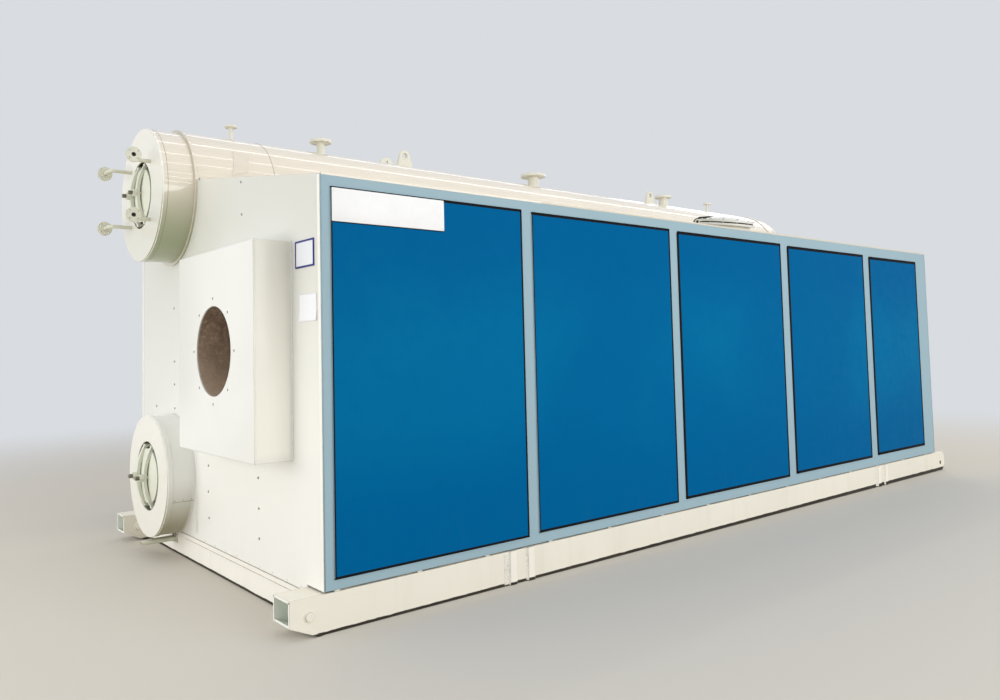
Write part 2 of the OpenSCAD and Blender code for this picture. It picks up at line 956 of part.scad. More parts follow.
// the round of the cover's dome, long across and with its ends turned
module dome_core() {
  dx = (cover_w - cover_h) / 2;
  translate([0, 0, cover_edge - seat_back + cover_dome - cover_rad]) {
    for (k = [-1, 1])
      translate([k * dx, 0, 0])
        sphere(r = cover_rad, $fn = 160);
    rotate([0, 90, 0])
      cylinder(r = cover_rad, h = 2 * dx, center = true, $fn = 160);
  }
}

module manhole_cover() {
  intersection() {
    translate([0, 0, -seat_back])
      linear_extrude(cover_edge + cover_dome + 1)
        slot_shape(cover_w, cover_h);
    union() {
      translate([0, 0, -seat_back])
        linear_extrude(cover_edge)
          slot_shape(cover_w, cover_h);
      dome_core();
    }
  }
}

// one clamping yoke: an arched bar with two legs down to the head, a stud and a nut
module yoke() {
  leg = yoke_t / 2;
  difference() {
    union() {
      translate([-yoke_w / 2, 0, 0])
        rotate([90, 0, 90])
          linear_extrude(yoke_w)
            intersection() {
              difference() {
                translate([0, yoke_top - yoke_rad]) circle(r = yoke_rad, $fn = 180);
                translate([0, yoke_top - yoke_rad]) circle(r = yoke_rad - yoke_t, $fn = 180);
              }
              translate([-yoke_reach - leg, -yoke_t])
                square([2 * (yoke_reach + leg), yoke_top + 2 * yoke_t]);
            }
      for (k = [-1, 1])
        translate([-yoke_w / 2, k * yoke_reach - leg, -head_back - 60])
          cube([yoke_w, yoke_t, head_back + 60]);
      cylinder(r = stud_r, h = stud_out);
      translate([0, 0, yoke_top - 2])
        cylinder(r = nut_w / 2, h = nut_h + 2, $fn = 6);
    }
  }
}

module yoke_pair() {
  difference() {
    for (k = [-1, 1])
      translate([k * yoke_off, 0, 0])
        yoke();
    translate([0, 0, -head_back - head_dish_r])
      sphere(r = head_dish_r, $fn = 200);
    manhole_cover();
  }
}

module upper_drum_heads() {
  color([0.80, 0.80, 0.72]) placed() {
    at_front(upper_x, upper_out, upper_z) drum_head(upper_end_r - lagging_t);
    at_rear(upper_x, upper_out, upper_z) drum_head(upper_end_r - lagging_t);
  }
}

module upper_manhole_covers() {
  color([0.86, 0.88, 0.86]) placed() {
    at_front(upper_x, upper_out, upper_z) manhole_cover();
    at_rear(upper_x, upper_out, upper_z) manhole_cover();
  }
}

module upper_manhole_yokes() {
  color([0.85, 0.84, 0.78]) placed() {
    at_front(upper_x, upper_out, upper_z) yoke_pair();
    at_rear(upper_x, upper_out, upper_z) yoke_pair();
  }
}

module lower_drum_heads() {
  color([0.80, 0.80, 0.72]) placed() {
    at_front(lower_x, lower_out, lower_z) drum_head(lower_r - lagging_t);
    at_rear(lower_x, lower_out, lower_z) drum_head(lower_r - lagging_t);
  }
}

module lower_manhole_covers() {
  color([0.86, 0.88, 0.86]) placed() {
    at_front(lower_x, lower_out, lower_z) manhole_cover();
    at_rear(lower_x, lower_out, lower_z) manhole_cover();
  }
}

module lower_manhole_yokes() {
  color([0.85, 0.84, 0.78]) placed() {
    at_front(lower_x, lower_out, lower_z) yoke_pair();
    at_rear(lower_x, lower_out, lower_z) yoke_pair();
  }
}

module windbox() {
  color([0.94, 0.93, 0.89]) placed()
    difference() {
      translate([box_x - box_w / 2, -box_d, box_foot])
        cube([box_w, box_d, box_h]);
      translate([box_x - box_w / 2 + box_t, -box_d + box_t, box_foot + box_t])
        cube([box_w - 2 * box_t, box_d, box_h - 2 * box_t]);
      rod_y(box_x, port_z, port_r, -box_d - 1, box_t + 2);
      for (i = [0 : 7])
        rod_y(box_x + port_pcd / 2 * cos(45 * i), port_z + port_pcd / 2 * sin(45 * i),
              port_bolt_r, -box_d - 1, box_t + 2);
    }
}

module burner_throat() {
  l = box_d - box_t + throat_in;
  color([0.42, 0.36, 0.32]) placed()
    difference() {
      rod_y(box_x, port_z, port_r + throat_t, -box_d + box_t, l);
      rod_y(box_x, port_z, port_r, -box_d + box_t - 1, l + 2);
    }
}

// the way of one gauge pipe: out of the head, round an elbow, towards +x
module gauge_path(r, start, arm) {
  translate([0, 0, -start])
    cylinder(r = r, h = start + gauge_out - gauge_bend);
  translate([gauge_bend, 0, gauge_out - gauge_bend])
    rotate([90, 0, 180])
      rotate_extrude(angle = 90)
        translate([gauge_bend, 0]) circle(r = r, $fn = 48);
  translate([gauge_bend, 0, gauge_out])
    rotate([0, 90, 0])
      cylinder(r = r, h = arm - gauge_bend);
}

module gauge_pipe() {
  head_r = sqrt(gauge_x * gauge_x + gauge_z * gauge_z);
  start = head_back + head_dish_r - sqrt(head_dish_r * head_dish_r - head_r * head_r) + head_t / 2;
  difference() {
    union() {
      gauge_path(gauge_r, start, gauge_arm);
      translate([gauge_arm - gauge_flange_t, 0, gauge_out])
        rotate([0, 90, 0])
          cylinder(r = gauge_flange_r, h = gauge_flange_t);
    }
    gauge_path(gauge_bore_r, start + 1, gauge_arm + 1);
    for (i = [0 : 3])
      translate([gauge_arm - gauge_flange_t - 1,
                 gauge_pcd / 2 * cos(45 + 90 * i), gauge_out + gauge_pcd / 2 * sin(45 + 90 * i)])
        rotate([0, 90, 0])
          cylinder(r = gauge_bolt_r, h = gauge_flange_t + 2);
  }
}

module gauge_side() {
  difference() {
    at_front(upper_x, upper_out, upper_z)
      for (k = [-1, 1])
        translate([gauge_x, k * gauge_z, 0])
          gauge_pipe();
    at_front(upper_x, upper_out, upper_z) drum_head(upper_end_r - lagging_t);
  }
}

module gauge_pipes() {
  color([0.86, 0.87, 0.79]) placed() {
    gauge_side();
    translate([upper_x, 0, 0])
      mirror([1, 0, 0])
        translate([-upper_x, 0, 0])
          gauge_side();
  }
}

// a flanged nozzle set through the crown of the upper drum
module nozzle(y, pipe_r, bore_r, flange_r, flange_h, pcd, bolts, bolt_r) {
  translate([upper_x, y, 0])
    difference() {
      union() {
        translate([0, 0, upper_z])
          cylinder(r = pipe_r, h = flange_z - upper_z);
        translate([0, 0, flange_z - flange_h])
          cylinder(r = flange_r, h = flange_h);
      }
      translate([0, -2 * flange_r, upper_z])
        rotate([-90, 0, 0])
          cylinder(r = upper_end_r - lagging_t, h = 4 * flange_r);
      translate([0, 0, upper_z])
        cylinder(r = bore_r, h = flange_z - upper_z + 1);
      for (i = [0 : bolts - 1])
        rotate([0, 0, (i + 0.5) * 360 / bolts])
          translate([pcd / 2, 0, flange_z - flange_h - 1])
            cylinder(r = bolt_r, h = flange_h + 2, $fn = 32);
    }
}

// the hole in the upper drum's crown for one nozzle
module crown_hole(y, r) {
  translate([upper_x, y, upper_z])
    cylinder(r = r, h = 2 * upper_r);
}

module vent_nozzles() {
  color([0.93, 0.90, 0.84]) placed() {
    nozzle(vent_y, vent_r, vent_bore_r, vent_flange_r, vent_flange_t, vent_pcd, 4, vent_bolt_r);
    nozzle(nozzle_d_y, vent_r, vent_bore_r, vent_flange_r, vent_flange_t, vent_pcd, 4, vent_bolt_r);
  }
}

module small_steam_nozzle() {
  color([0.93, 0.90, 0.84]) placed()
    nozzle(nozzle_a_y, a_r, a_bore_r, a_flange_r, top_flange_t, a_pcd, 8, steam_bolt_r);
}

module main_steam_nozzle() {
  color([0.93, 0.90, 0.84]) placed()
    nozzle(nozzle_b_y, b_r, b_bore_r, b_flange_r, top_flange_t, b_pcd, 8, steam_bolt_r);
}

module safety_nozzle() {
  color([0.93, 0.90, 0.84]) placed()
    nozzle(nozzle_c_y, c_r, c_bore_r, c_flange_r, top_flange_t, c_pcd, 8, steam_bolt_r);
}

// a tall lug with straight sides that run into its round top
module lifting_lug(y) {
  c = lift_h - lift_top_r;
  reach = sqrt(lift_l * lift_l / 4 + c * c);
  turn = acos(lift_top_r / reach) + atan2(-c, lift_l / 2);
  tx = lift_top_r * cos(turn);
  tz = c + lift_top_r * sin(turn);
  difference() {
    along_x(upper_x - lift_t / 2, lift_t)
      translate([y, upper_top])
        union() {
          translate([0, c]) circle(r = lift_top_r);
          polygon([
            [-lift_l / 2, -lift_t], [lift_l / 2, -lift_t], [lift_l / 2, 0],
            [tx, tz], [-tx, tz], [-lift_l / 2, 0]
          ]);
        }
    upper_core();
    translate([upper_x - lift_t, y, upper_top + lift_h - lift_eye_down])
      rotate([0, 90, 0])
        cylinder(r = lift_eye_r, h = 2 * lift_t);
  }
}

// the small half-round lug ahead of the front lifting lug
module guy_lug() {
  difference() {
    translate([upper_x - guy_t / 2, guy_y, upper_top])
      rotate([0, 90, 0])
        cylinder(r = guy_r, h = guy_t);
    upper_core();
    translate([upper_x - guy_t, guy_y, upper_top + guy_hole_up])
      rotate([0, 90, 0])
        cylinder(r = guy_hole_r, h = 2 * guy_t);
  }
}

module lifting_lugs() {
  color([0.93, 0.90, 0.84]) placed() {
    lifting_lug(lift_front_y);
    lifting_lug(lift_rear_y);
    guy_lug();
  }
}

// puts a piece of the relief door on the sloping roof, with z = 0 on its face
module on_roof() {
  translate([relief_x, relief_y, relief_z])
    rotate([0, roof_pitch, 0])
      children();
}

module relief_door_neck() {
  foot = roof_t * cos(roof_pitch);
  color([0.94, 0.92, 0.87]) placed()
    on_roof()
      difference() {
        union() {
          translate([0, 0, -foot])
            cylinder(r = relief_r, h = foot + relief_neck_h);
          translate([0, 0, relief_neck_h - relief_flange_t])
            cylinder(r = relief_flange_r, h = relief_flange_t);
          hinge_ears();
        }
        translate([0, 0, -foot - 1])
          cylinder(r = relief_r - relief_neck_t, h = foot + relief_neck_h + 2);
      }
}

// the two ears on the flange's uphill side, with the hole for the hinge pin
module hinge_ears() {
  for (k = [-1, 1])
    translate([0, k * (hinge_gap + hinge_ear_t) / 2 + hinge_ear_t / 2, 0])
      rotate([90, 0, 0])
        linear_extrude(hinge_ear_t)
          difference() {
            union() {
              translate([-hinge_off, hinge_h]) circle(r = hinge_ear_r);
              translate([-hinge_off - hinge_ear_r, relief_neck_h - relief_flange_t])
                square([2 * hinge_ear_r, hinge_h - relief_neck_h + relief_flange_t]);
              translate([-hinge_off, relief_neck_h - relief_flange_t])
                square([hinge_off - relief_r, relief_flange_t]);
            }
            translate([-hinge_off, hinge_h]) circle(r = hinge_pin_r + hinge_fit);
          }
}

module relief_door_seal() {
  color([0.07, 0.07, 0.08]) placed()
    on_roof()
      translate([0, 0, relief_neck_h])
        difference() {
          cylinder(r = relief_seal_r, h = relief_seal_t);
          translate([0, 0, -1])
            cylinder(r = relief_r - relief_neck_t, h = relief_seal_t + 2);
        }
}

// the lid: a flat edge with a dome on it
module lid_body() {
  base = relief_neck_h + relief_seal_t;
  rad = (relief_dome_r * relief_dome_r + relief_dome * relief_dome) / (2 * relief_dome);
  translate([0, 0, base])
    cylinder(r = relief_lid_r, h = relief_lid_t);
  intersection() {
    translate([0, 0, base + relief_lid_t - 1])
      cylinder(r = relief_dome_r, h = relief_dome + 2);
    translate([0, 0, base + relief_lid_t + relief_dome - rad])
      sphere(r = rad, $fn = 200);
  }
}

module relief_door_lid() {
  color([0.94, 0.92, 0.87]) placed()
    on_roof()
      lid_body();
}

// side view of the hinge strap: a bend over the pin, a straight end, an eye and a web
module strap_shape() {
  cx = -hinge_off + strap_ahead;
  cz = hinge_h - strap_drop;
  difference() {
    translate([cx, cz]) circle(r = strap_r, $fn = 180);
    translate([cx, cz]) circle(r = strap_r - strap_t, $fn = 180);
    translate([cx, cz - strap_r - 1]) square([strap_r + 1, 2 * strap_r + 2]);
    translate([cx - strap_r - 1, cz - strap_r - 1]) square([2 * strap_r + 2, strap_r + 1 + strap_drop]);
  }
  translate([cx, cz + strap_r - strap_t])
    rotate(strap_slope)
      square([strap_l, strap_t]);
  translate([-hinge_off, hinge_h]) circle(r = hinge_pin_r + strap_t / 2);
  translate([-hinge_off - strap_t / 2, hinge_h])
    square([strap_t, strap_r - strap_t / 2 - strap_drop - strap_ahead / 4]);
  translate([cx + strap_l - 2 * strap_t, relief_neck_h + relief_seal_t])
    square([1.6 * strap_t, strap_r - strap_drop + hinge_h - relief_neck_h - relief_seal_t]);
}

module relief_door_strap() {
  pin_l = hinge_gap + 2 * hinge_ear_t;
  color([0.10, 0.10, 0.10]) placed()
    on_roof() {
      difference() {
        translate([0, strap_w / 2, 0])
          rotate([90, 0, 0])
            linear_extrude(strap_w)
              strap_shape();
        lid_body();
      }
      translate([-hinge_off, 0, hinge_h])
        rotate([90, 0, 0])
          cylinder(r = hinge_pin_r, h = pin_l, center = true);
    }
}

// two pipes side by side on a small plate on the front cross beam
module drain_pipes() {
  color([0.88, 0.90, 0.84]) placed()
    translate([lower_x + drain_off, skirt_t, 0])
      difference() {
        union() {
          rod_y(drain_pitch / 2, drain_z, drain_r, -drain_out, drain_out);
          rod_y(-drain_pitch / 2, drain_z, drain_r, drain_short - drain_out, drain_out - drain_short);
          translate([-drain_plate_w / 2, -drain_plate_t, drain_z - drain_plate_h / 2])
            cube([drain_plate_w, drain_plate_t, drain_plate_h]);
        }
        for (k = [-1, 1])
          rod_y(k * drain_pitch / 2, drain_z, drain_bore_r,
                -drain_out - 1, drain_out + 1 - drain_plate_t);
      }
}

base_beam_right();
base_beam_left();
cross_beams();
hauling_pins();
towing_lugs();
floor_plate();
front_wall();
rear_wall();
right_wall();
left_wall();
right_panel_1();
right_panel_2();
right_panel_3();
right_panel_4();
right_panel_5();
left_panels();
panel_seals();
roof_right();
roof_left();
upper_drum_shell();
upper_drum_collars();
upper_front_cover();
upper_rear_cover();
upper_drum_heads();
upper_manhole_covers();
upper_manhole_yokes();
lower_drum_shell();
lower_front_cover();
lower_rear_cover();
lower_drum_heads();
lower_manhole_covers();
lower_manhole_yokes();
windbox();
burner_throat();
gauge_pipes();
vent_nozzles();
small_steam_nozzle();
main_steam_nozzle();
safety_nozzle();
lifting_lugs();
relief_door_neck();
relief_door_seal();
relief_door_lid();
relief_door_strap();
drain_pipes();
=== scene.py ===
# Looks of a packaged two-drum boiler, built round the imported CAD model.
# Metres, +Z up. The burner end faces -Y and the panelled side faces +X.
import json
import random

import bmesh
import bpy
from math import atan2, cos, pi, radians, sin, sqrt, tan
from mathutils import Matrix, Vector


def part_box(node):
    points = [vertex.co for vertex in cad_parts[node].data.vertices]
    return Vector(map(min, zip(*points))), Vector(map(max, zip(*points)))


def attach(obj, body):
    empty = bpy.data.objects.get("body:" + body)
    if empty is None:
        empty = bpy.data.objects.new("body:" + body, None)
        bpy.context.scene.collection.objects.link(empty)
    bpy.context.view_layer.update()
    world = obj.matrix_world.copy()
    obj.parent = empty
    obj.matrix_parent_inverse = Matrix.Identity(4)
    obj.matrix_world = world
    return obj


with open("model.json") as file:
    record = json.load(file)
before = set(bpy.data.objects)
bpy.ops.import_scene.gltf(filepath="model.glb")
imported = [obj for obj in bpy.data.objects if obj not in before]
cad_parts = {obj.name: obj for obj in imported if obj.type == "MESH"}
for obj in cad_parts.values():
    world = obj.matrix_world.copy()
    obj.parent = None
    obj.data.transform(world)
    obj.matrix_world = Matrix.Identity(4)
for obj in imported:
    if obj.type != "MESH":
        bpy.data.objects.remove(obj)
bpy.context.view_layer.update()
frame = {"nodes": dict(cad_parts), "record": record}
nodes = frame["nodes"]
MM = 0.001
BEAM_W = 200
X, Y, Z = Vector((1, 0, 0)), Vector((0, 1, 0)), Vector((0, 0, 1))

# camera, solved from the casing's corners in the photograph
CAM_POS = (5.7395, -6.2530, 1.5785)
CAM_YAW = radians(51.66)
CAM_PITCH = radians(3.17)
CAM_ROLL = radians(-1.219)
CAM_LENS = 28.695
CAM_SENSOR = 36
CAM_SHIFT = (0.0387, -0.0445)
CAM_FAR = 200

# places that the pieces are measured from
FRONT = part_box("front_wall")[0].y
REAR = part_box("rear_wall")[1].y
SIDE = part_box("right_wall")[1].x
UPPER = sum(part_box("upper_front_cover"), Vector()) / 2
LOWER = sum(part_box("lower_front_cover"), Vector()) / 2
UPPER_R, LOWER_BAND_R, END_R = (
    (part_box(node)[1].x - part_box(node)[0].x) / 2
    for node in ("upper_drum_shell", "lower_drum_shell", "upper_front_cover"))
LOWER_R = LOWER_BAND_R - 6 * MM
UPPER_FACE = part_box("upper_front_cover")[0].y
LOWER_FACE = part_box("lower_front_cover")[0].y
SLOPE = radians(9.4)
WALL_T = 100 * MM
ROOF_EDGE = 4 * MM
# where the roof's upper face meets the side's outer face
WALL_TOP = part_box("right_wall")[1].z - WALL_T * tan(SLOPE) + ROOF_EDGE
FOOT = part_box("right_wall")[0].z
# millimetres from the front plate to the rear plate
LENGTH = (REAR - FRONT) / MM


def at(x, y, z):
    """A place in millimetres from the right wall's face, the front plate and the ground."""
    return Vector((SIDE + x * MM, FRONT + y * MM, z * MM))


def srgb(r, g, b):
    """A colour written as it shows on screen, 0 to 255, as linear light."""
    def lin(c):
        c /= 255
        return c / 12.92 if c <= 0.04045 else ((c + 0.055) / 1.055) ** 2.4
    return (lin(r), lin(g), lin(b), 1)


# camera, floor and light

def make_camera():
    fwd = Vector((-sin(CAM_YAW) * cos(CAM_PITCH),
                  cos(CAM_YAW) * cos(CAM_PITCH),
                  sin(CAM_PITCH)))
    right = fwd.cross(Z).normalized()
    up = right.cross(fwd)
    r2 = right * cos(CAM_ROLL) + up * sin(CAM_ROLL)
    u2 = -right * sin(CAM_ROLL) + up * cos(CAM_ROLL)
    cam = bpy.data.cameras.new("camera")
    cam.lens = CAM_LENS
    cam.sensor_width = CAM_SENSOR
    cam.shift_x, cam.shift_y = CAM_SHIFT
    cam.clip_end = CAM_FAR
    obj = bpy.data.objects.new("camera", cam)
    m = Matrix((r2, u2, -fwd)).transposed().to_4x4()
    m.translation = Vector(CAM_POS)
    obj.matrix_world = m
    bpy.context.scene.collection.objects.link(obj)
    bpy.context.scene.camera = obj


WORLD_LIGHT = 0.685
WORLD_COLOUR = (0.975, 0.99, 1.0, 1)
BACKDROP = srgb(217, 220, 224)


def make_world():
    """A pale backdrop to the eye and in reflections, a plain soft light on the object."""
    world = bpy.data.worlds.new("world")
    bpy.context.scene.world = world
    world.use_nodes = True
    tree = world.node_tree
    soft = tree.nodes["Background"]
    soft.inputs[0].default_value = WORLD_COLOUR
    soft.inputs[1].default_value = WORLD_LIGHT
    pale = tree.nodes.new("ShaderNodeBackground")
    pale.inputs[0].default_value = BACKDROP
    path = tree.nodes.new("ShaderNodeLightPath").outputs
    seen, mirrored = (tree.nodes.new("ShaderNodeMath") for _ in range(2))
    seen.operation = mirrored.operation = "MAXIMUM"
    mix = tree.nodes.new("ShaderNodeMixShader")
    for start, end in ((path["Is Camera Ray"], seen.inputs[0]), (path["Is Transmission Ray"], seen.inputs[1]),
                       (seen.outputs[0], mirrored.inputs[0]), (path["Is Glossy Ray"], mirrored.inputs[1]),
                       (mirrored.outputs[0], mix.inputs[0]), (soft.outputs[0], mix.inputs[1]),
                       (pale.outputs[0], mix.inputs[2]),
                       (mix.outputs[0], tree.nodes["World Output"].inputs[0])):
        tree.links.new(start, end)


# the lamps: name, place, aim, size, power
LAMPS = [("key_lamp", (-2.5, -12.0, 3.0), (-0.3, -2.0, 0.8), (7, 3), 205),
         ("low_lamp", (0.8, -10.5, 0.9), (0.2, -4.0, 0.8), (5, 1.5), 120),
         ("side_lamp", (12.5, 1.2, 3.6), (1.5, 0.8, 1.1), (13, 4), 655),
         ("back_lamp", (-4.0, 12.0, 6.5), (-0.5, 3.0, 1.6), (7, 4), 150)]
LAMP_COLOUR = (0.985, 0.995, 1)
# the ceiling strips that draw the bright lines along the drum: x, y, power
STRIPS = ((-5.7, 2.6, 62), (-1.4, 2.6, 62), (1.2, 2.6, 62), (3.7, 2.6, 62))
STRIP_Z = 8.5
STRIP_SIZE = (0.24, 20)
# short strips further to the right, which draw the three lines low on the drum's end
NEAR_STRIPS = ((7.5, -0.4, 20), (10.5, 0.7, 30), (15.9, 2.9, 55))
NEAR_STRIP_SIZE = (0.3, 5)


def make_lamps():
    lamps = list(LAMPS)
    for kind, strips, size in (("roof", STRIPS, STRIP_SIZE), ("near", NEAR_STRIPS, NEAR_STRIP_SIZE)):
        for i, (x, y, power) in enumerate(strips):
            lamps.append(("%s_strip_%d" % (kind, i + 1), (x, y, STRIP_Z), (x, y, 0), size, power))
    for name, place, aim, size, power in lamps:
        light = bpy.data.lights.new(name, "AREA")
        light.shape = "RECTANGLE"
        light.size, light.size_y = size
        light.energy = power
        light.color = LAMP_COLOUR
        obj = bpy.data.objects.new(name, light)
        way = Vector(aim) - Vector(place)
        obj.matrix_world = Matrix.Translation(place) @ way.to_track_quat("-Z", "Y").to_matrix().to_4x4()
        obj.visible_camera = False
        bpy.context.scene.collection.objects.link(obj)


FLOOR_SIZE = 80
FADE_FROM, FADE_TO = 5.5, 14.0
FLOOR_SEEN = srgb(210, 204, 194)
FLOOR_CAST = srgb(188, 180, 168)


def make_floor():
    """A plain pale floor that keeps the shadow and fades into the backdrop far from the object."""
    bpy.ops.mesh.primitive_plane_add(size=FLOOR_SIZE)
    floor = bpy.context.object
    floor.name = "floor"
    s = Shader("floor", FLOOR_CAST, roughness=0.9, Specular_IOR_Level=0.1)
    path = s.node("LightPath").outputs
    seen = s.calc("MAXIMUM", path["Is Camera Ray"], path["Is Transmission Ray"])
    seen = s.calc("MAXIMUM", seen, path["Is Glossy Ray"])
    s.colour(s.blend(seen, FLOOR_CAST, FLOOR_SEEN))
    far = s.node("VectorMath", {0: s.place}, operation="LENGTH").outputs["Value"]
    fade = s.span(far, FADE_FROM, FADE_TO)
    pale = s.node("Emission", {"Color": BACKDROP, "Strength": 1}).outputs[0]
    out = s.tree.nodes["Material Output"]
    mix = s.node("MixShader", {0: s.times(fade, seen), 1: s.bsdf.outputs[0], 2: pale})
    s.link(mix.outputs[0], out.inputs["Surface"])
    floor.data.materials.append(s.mat)


# building materials from nodes

class Shader:
    """A material's nodes, with short calls to build them. Places are in metres on the object."""

    def __init__(self, name, colour, roughness=0.4, **fixed):
        self.mat = bpy.data.materials.new(name)
        self.mat.use_nodes = True
        self.mat.diffuse_color = colour
        self.tree = self.mat.node_tree
        self.bsdf = self.tree.nodes["Principled BSDF"]
        self.bsdf.inputs["Base Color"].default_value = colour
        self.bsdf.inputs["Roughness"].default_value = roughness
        for socket, value in fixed.items():
            self.bsdf.inputs[socket.replace("_", " ")].default_value = value
        self.place = self.node("TexCoord").outputs["Object"]

    def link(self, a, b):
        self.tree.links.new(a, b)

    def node(self, kind, inputs=None, **settings):
        n = self.tree.nodes.new("ShaderNode" + kind)
        for name, value in settings.items():
            setattr(n, name, value)
        for key, value in (inputs or {}).items():
            if isinstance(value, bpy.types.NodeSocket):
                self.link(value, n.inputs[key])
            else:
                n.inputs[key].default_value = value
        return n

    def calc(self, operation, a, b=0.0):
        return self.node("Math", {0: a, 1: b}, operation=operation).outputs[0]

    def times(self, first, *others):
        for other in others:
            first = self.calc("MULTIPLY", first, other)
        return first

    def plus(self, a, b):
        return self.calc("ADD", a, b)

    def span(self, value, low, high, to_low=0.0, to_high=1.0):
        inputs = {0: value, 1: low, 2: high, 3: to_low, 4: to_high}
        return self.node("MapRange", inputs, clamp=True, interpolation_type="SMOOTHSTEP").outputs[0]

    def noise(self, scale, detail=3.0, rough=0.5, stretch=(1, 1, 1), shift=0.0, warp=0.0):
        place = self.node("Mapping", {"Vector": self.place, "Scale": stretch,
                                      "Location": (shift, shift, shift)}).outputs[0]
        return self.node("TexNoise", {"Vector": place, "Scale": scale, "Detail": detail,
                                      "Roughness": rough, "Distortion": warp}).outputs["Fac"]

    def along(self, axis):
        return self.node("SeparateXYZ", {0: self.place}).outputs[axis]

    def facing(self, axis):
        """How much the surface looks along an axis, 1 to -1."""
        return self.node("SeparateXYZ", {0: self.node("TexCoord").outputs["Normal"]}).outputs[axis]

    def blend(self, share, a, b):
        n = self.node("Mix", data_type="RGBA")
        for socket, value in ((n.inputs[0], share), (n.inputs[6], a), (n.inputs[7], b)):
            if isinstance(value, bpy.types.NodeSocket):
                self.link(value, socket)
            else:
                socket.default_value = value
        return n.outputs[2]

    def soft_edges(self, radius):
        """The surface direction with every edge rounded by that radius."""
        return self.node("Bevel", {"Radius": radius}, samples=4).outputs[0]

    def edges(self, rounded, low=0.02, high=0.25):
        """1 on the edges of the part, 0 on its faces."""
        flat = self.node("NewGeometry").outputs["Normal"]
        same = self.node("VectorMath", {0: rounded, 1: flat}, operation="DOT_PRODUCT").outputs["Value"]
        return self.span(self.calc("SUBTRACT", 1.0, same), low, high)

    def corners(self, distance):
        """1 in the inner corners and joints, 0 on open faces."""
        open_share = self.node("AmbientOcclusion", {"Distance": distance}, samples=6).outputs["AO"]
        return self.calc("SUBTRACT", 1.0, open_share)

    def colour(self, socket):
        self.link(socket, self.bsdf.inputs["Base Color"])

    def shine(self, socket):
        self.link(socket, self.bsdf.inputs["Roughness"])

    def bump(self, height, distance, strength=1.0, under=None):
        inputs = {"Height": height, "Distance": distance, "Strength": strength}
        if under is not None:
            inputs["Normal"] = under
        return self.node("Bump", inputs).outputs[0]

    def surface(self, normal):
        self.link(normal, self.bsdf.inputs["Normal"])


def tint(colour, k):
    """The same colour, lighter or darker."""
    return tuple(min(1.0, c * k) for c in colour[:3]) + (1,)


# what the dirt on the paint is made of, with the colour of the painted shade in the joints
DUST = srgb(150, 132, 104)
GRIME_AND_SHADE = srgb(92, 84, 66)
SHOP_DIRT = srgb(120, 104, 82)
# from which slope on a surface the painted shade of its underside starts, and where it shows it all
UNDERSIDE_SHADE_SPAN = (0.35, -0.85)


def painted(name, colour, roughness, waves=1.0, dirt=0.5, grime_and_shade=0.5, wear=0.3, chip=None,
            shift=0.0, coat=0.0, coat_roughness=0.08, shadow_tint=None, cast=None, edge=0.005,
            level=0.5, under=None, mottle=0.18, zones=None):
    """Sprayed paint on sheet or plate: soft patches, dust low down, dirt and painted shade in the joints,
    worn edges with a painted highlight along them.

    under is the colour of the painted shade on what looks down. zones is a function
    that changes the colour from place to place."""
    s = Shader(name, colour, roughness, Coat_Weight=coat, Coat_Roughness=coat_roughness,
               Specular_IOR_Level=level)
    cloud = s.span(s.noise(0.8, 2, 0.5, shift=shift, warp=0.4), 0.35, 0.65)
    fine = s.noise(14, 5, 0.6, shift=shift + 3)
    specks = s.span(s.noise(160, 2, 0.5, shift=shift + 5), 0.72, 0.82)
    base = s.blend(cloud, tint(colour, 0.975), cast or tint(colour, 1.015))
    base = s.blend(s.span(fine, 0.3, 0.7, 0, mottle), base, tint(colour, 0.965))
    base = s.blend(s.times(specks, 0.22 * dirt), base, SHOP_DIRT)
    if zones:
        base = zones(s, base)
    # painted shade on what looks down
    if under:
        base = s.blend(s.span(s.facing("Z"), *UNDERSIDE_SHADE_SPAN), base, under)
    streaks = s.span(s.noise(2.2, 5, 0.65, stretch=(3, 3, 0.3), shift=shift + 9), 0.45, 0.8)
    low = s.times(s.span(s.along("Z"), 0.9, 0.0), s.plus(s.times(streaks, 0.7), 0.3))
    base = s.blend(s.times(low, 0.13 * dirt), base, DUST)
    # dirt and painted shade in the joints, where the surface is hemmed in
    joints = s.times(s.span(s.corners(0.05), 0.25, 0.9), s.span(fine, 0.2, 0.75, 0.5, 1))
    base = s.blend(s.times(joints, 0.55 * grime_and_shade), base, shadow_tint or GRIME_AND_SHADE)
    rounded = s.soft_edges(edge)
    rim = s.edges(rounded)
    chips = s.times(rim, s.span(s.noise(42, 6, 0.7, shift=shift + 1), 0.56, 0.66))
    # a painted highlight along the edges
    base = s.blend(s.times(rim, 0.22), base, tint(colour, 1.12))
    base = s.blend(s.times(chips, wear), base, chip or SHOP_DIRT)
    s.colour(base)
    gloss = s.times(s.calc("SUBTRACT", fine, 0.5), 0.6 * mottle)
    gloss = s.plus(gloss, s.times(cloud, 0.04))
    gloss = s.plus(gloss, s.times(s.plus(low, joints), 0.15 * dirt))
    s.shine(s.plus(gloss, roughness))
    sheet = s.bump(s.noise(1.1, 2, 0.4, shift=shift + 2), 0.016 * waves, under=rounded)
    ripple = s.bump(s.noise(7, 2, 0.5, shift=shift + 4), 0.0008 * waves, under=sheet)
    peel = s.bump(s.noise(380, 2, 0.5), 0.00012, under=ripple)
    s.surface(peel)
    return s.mat


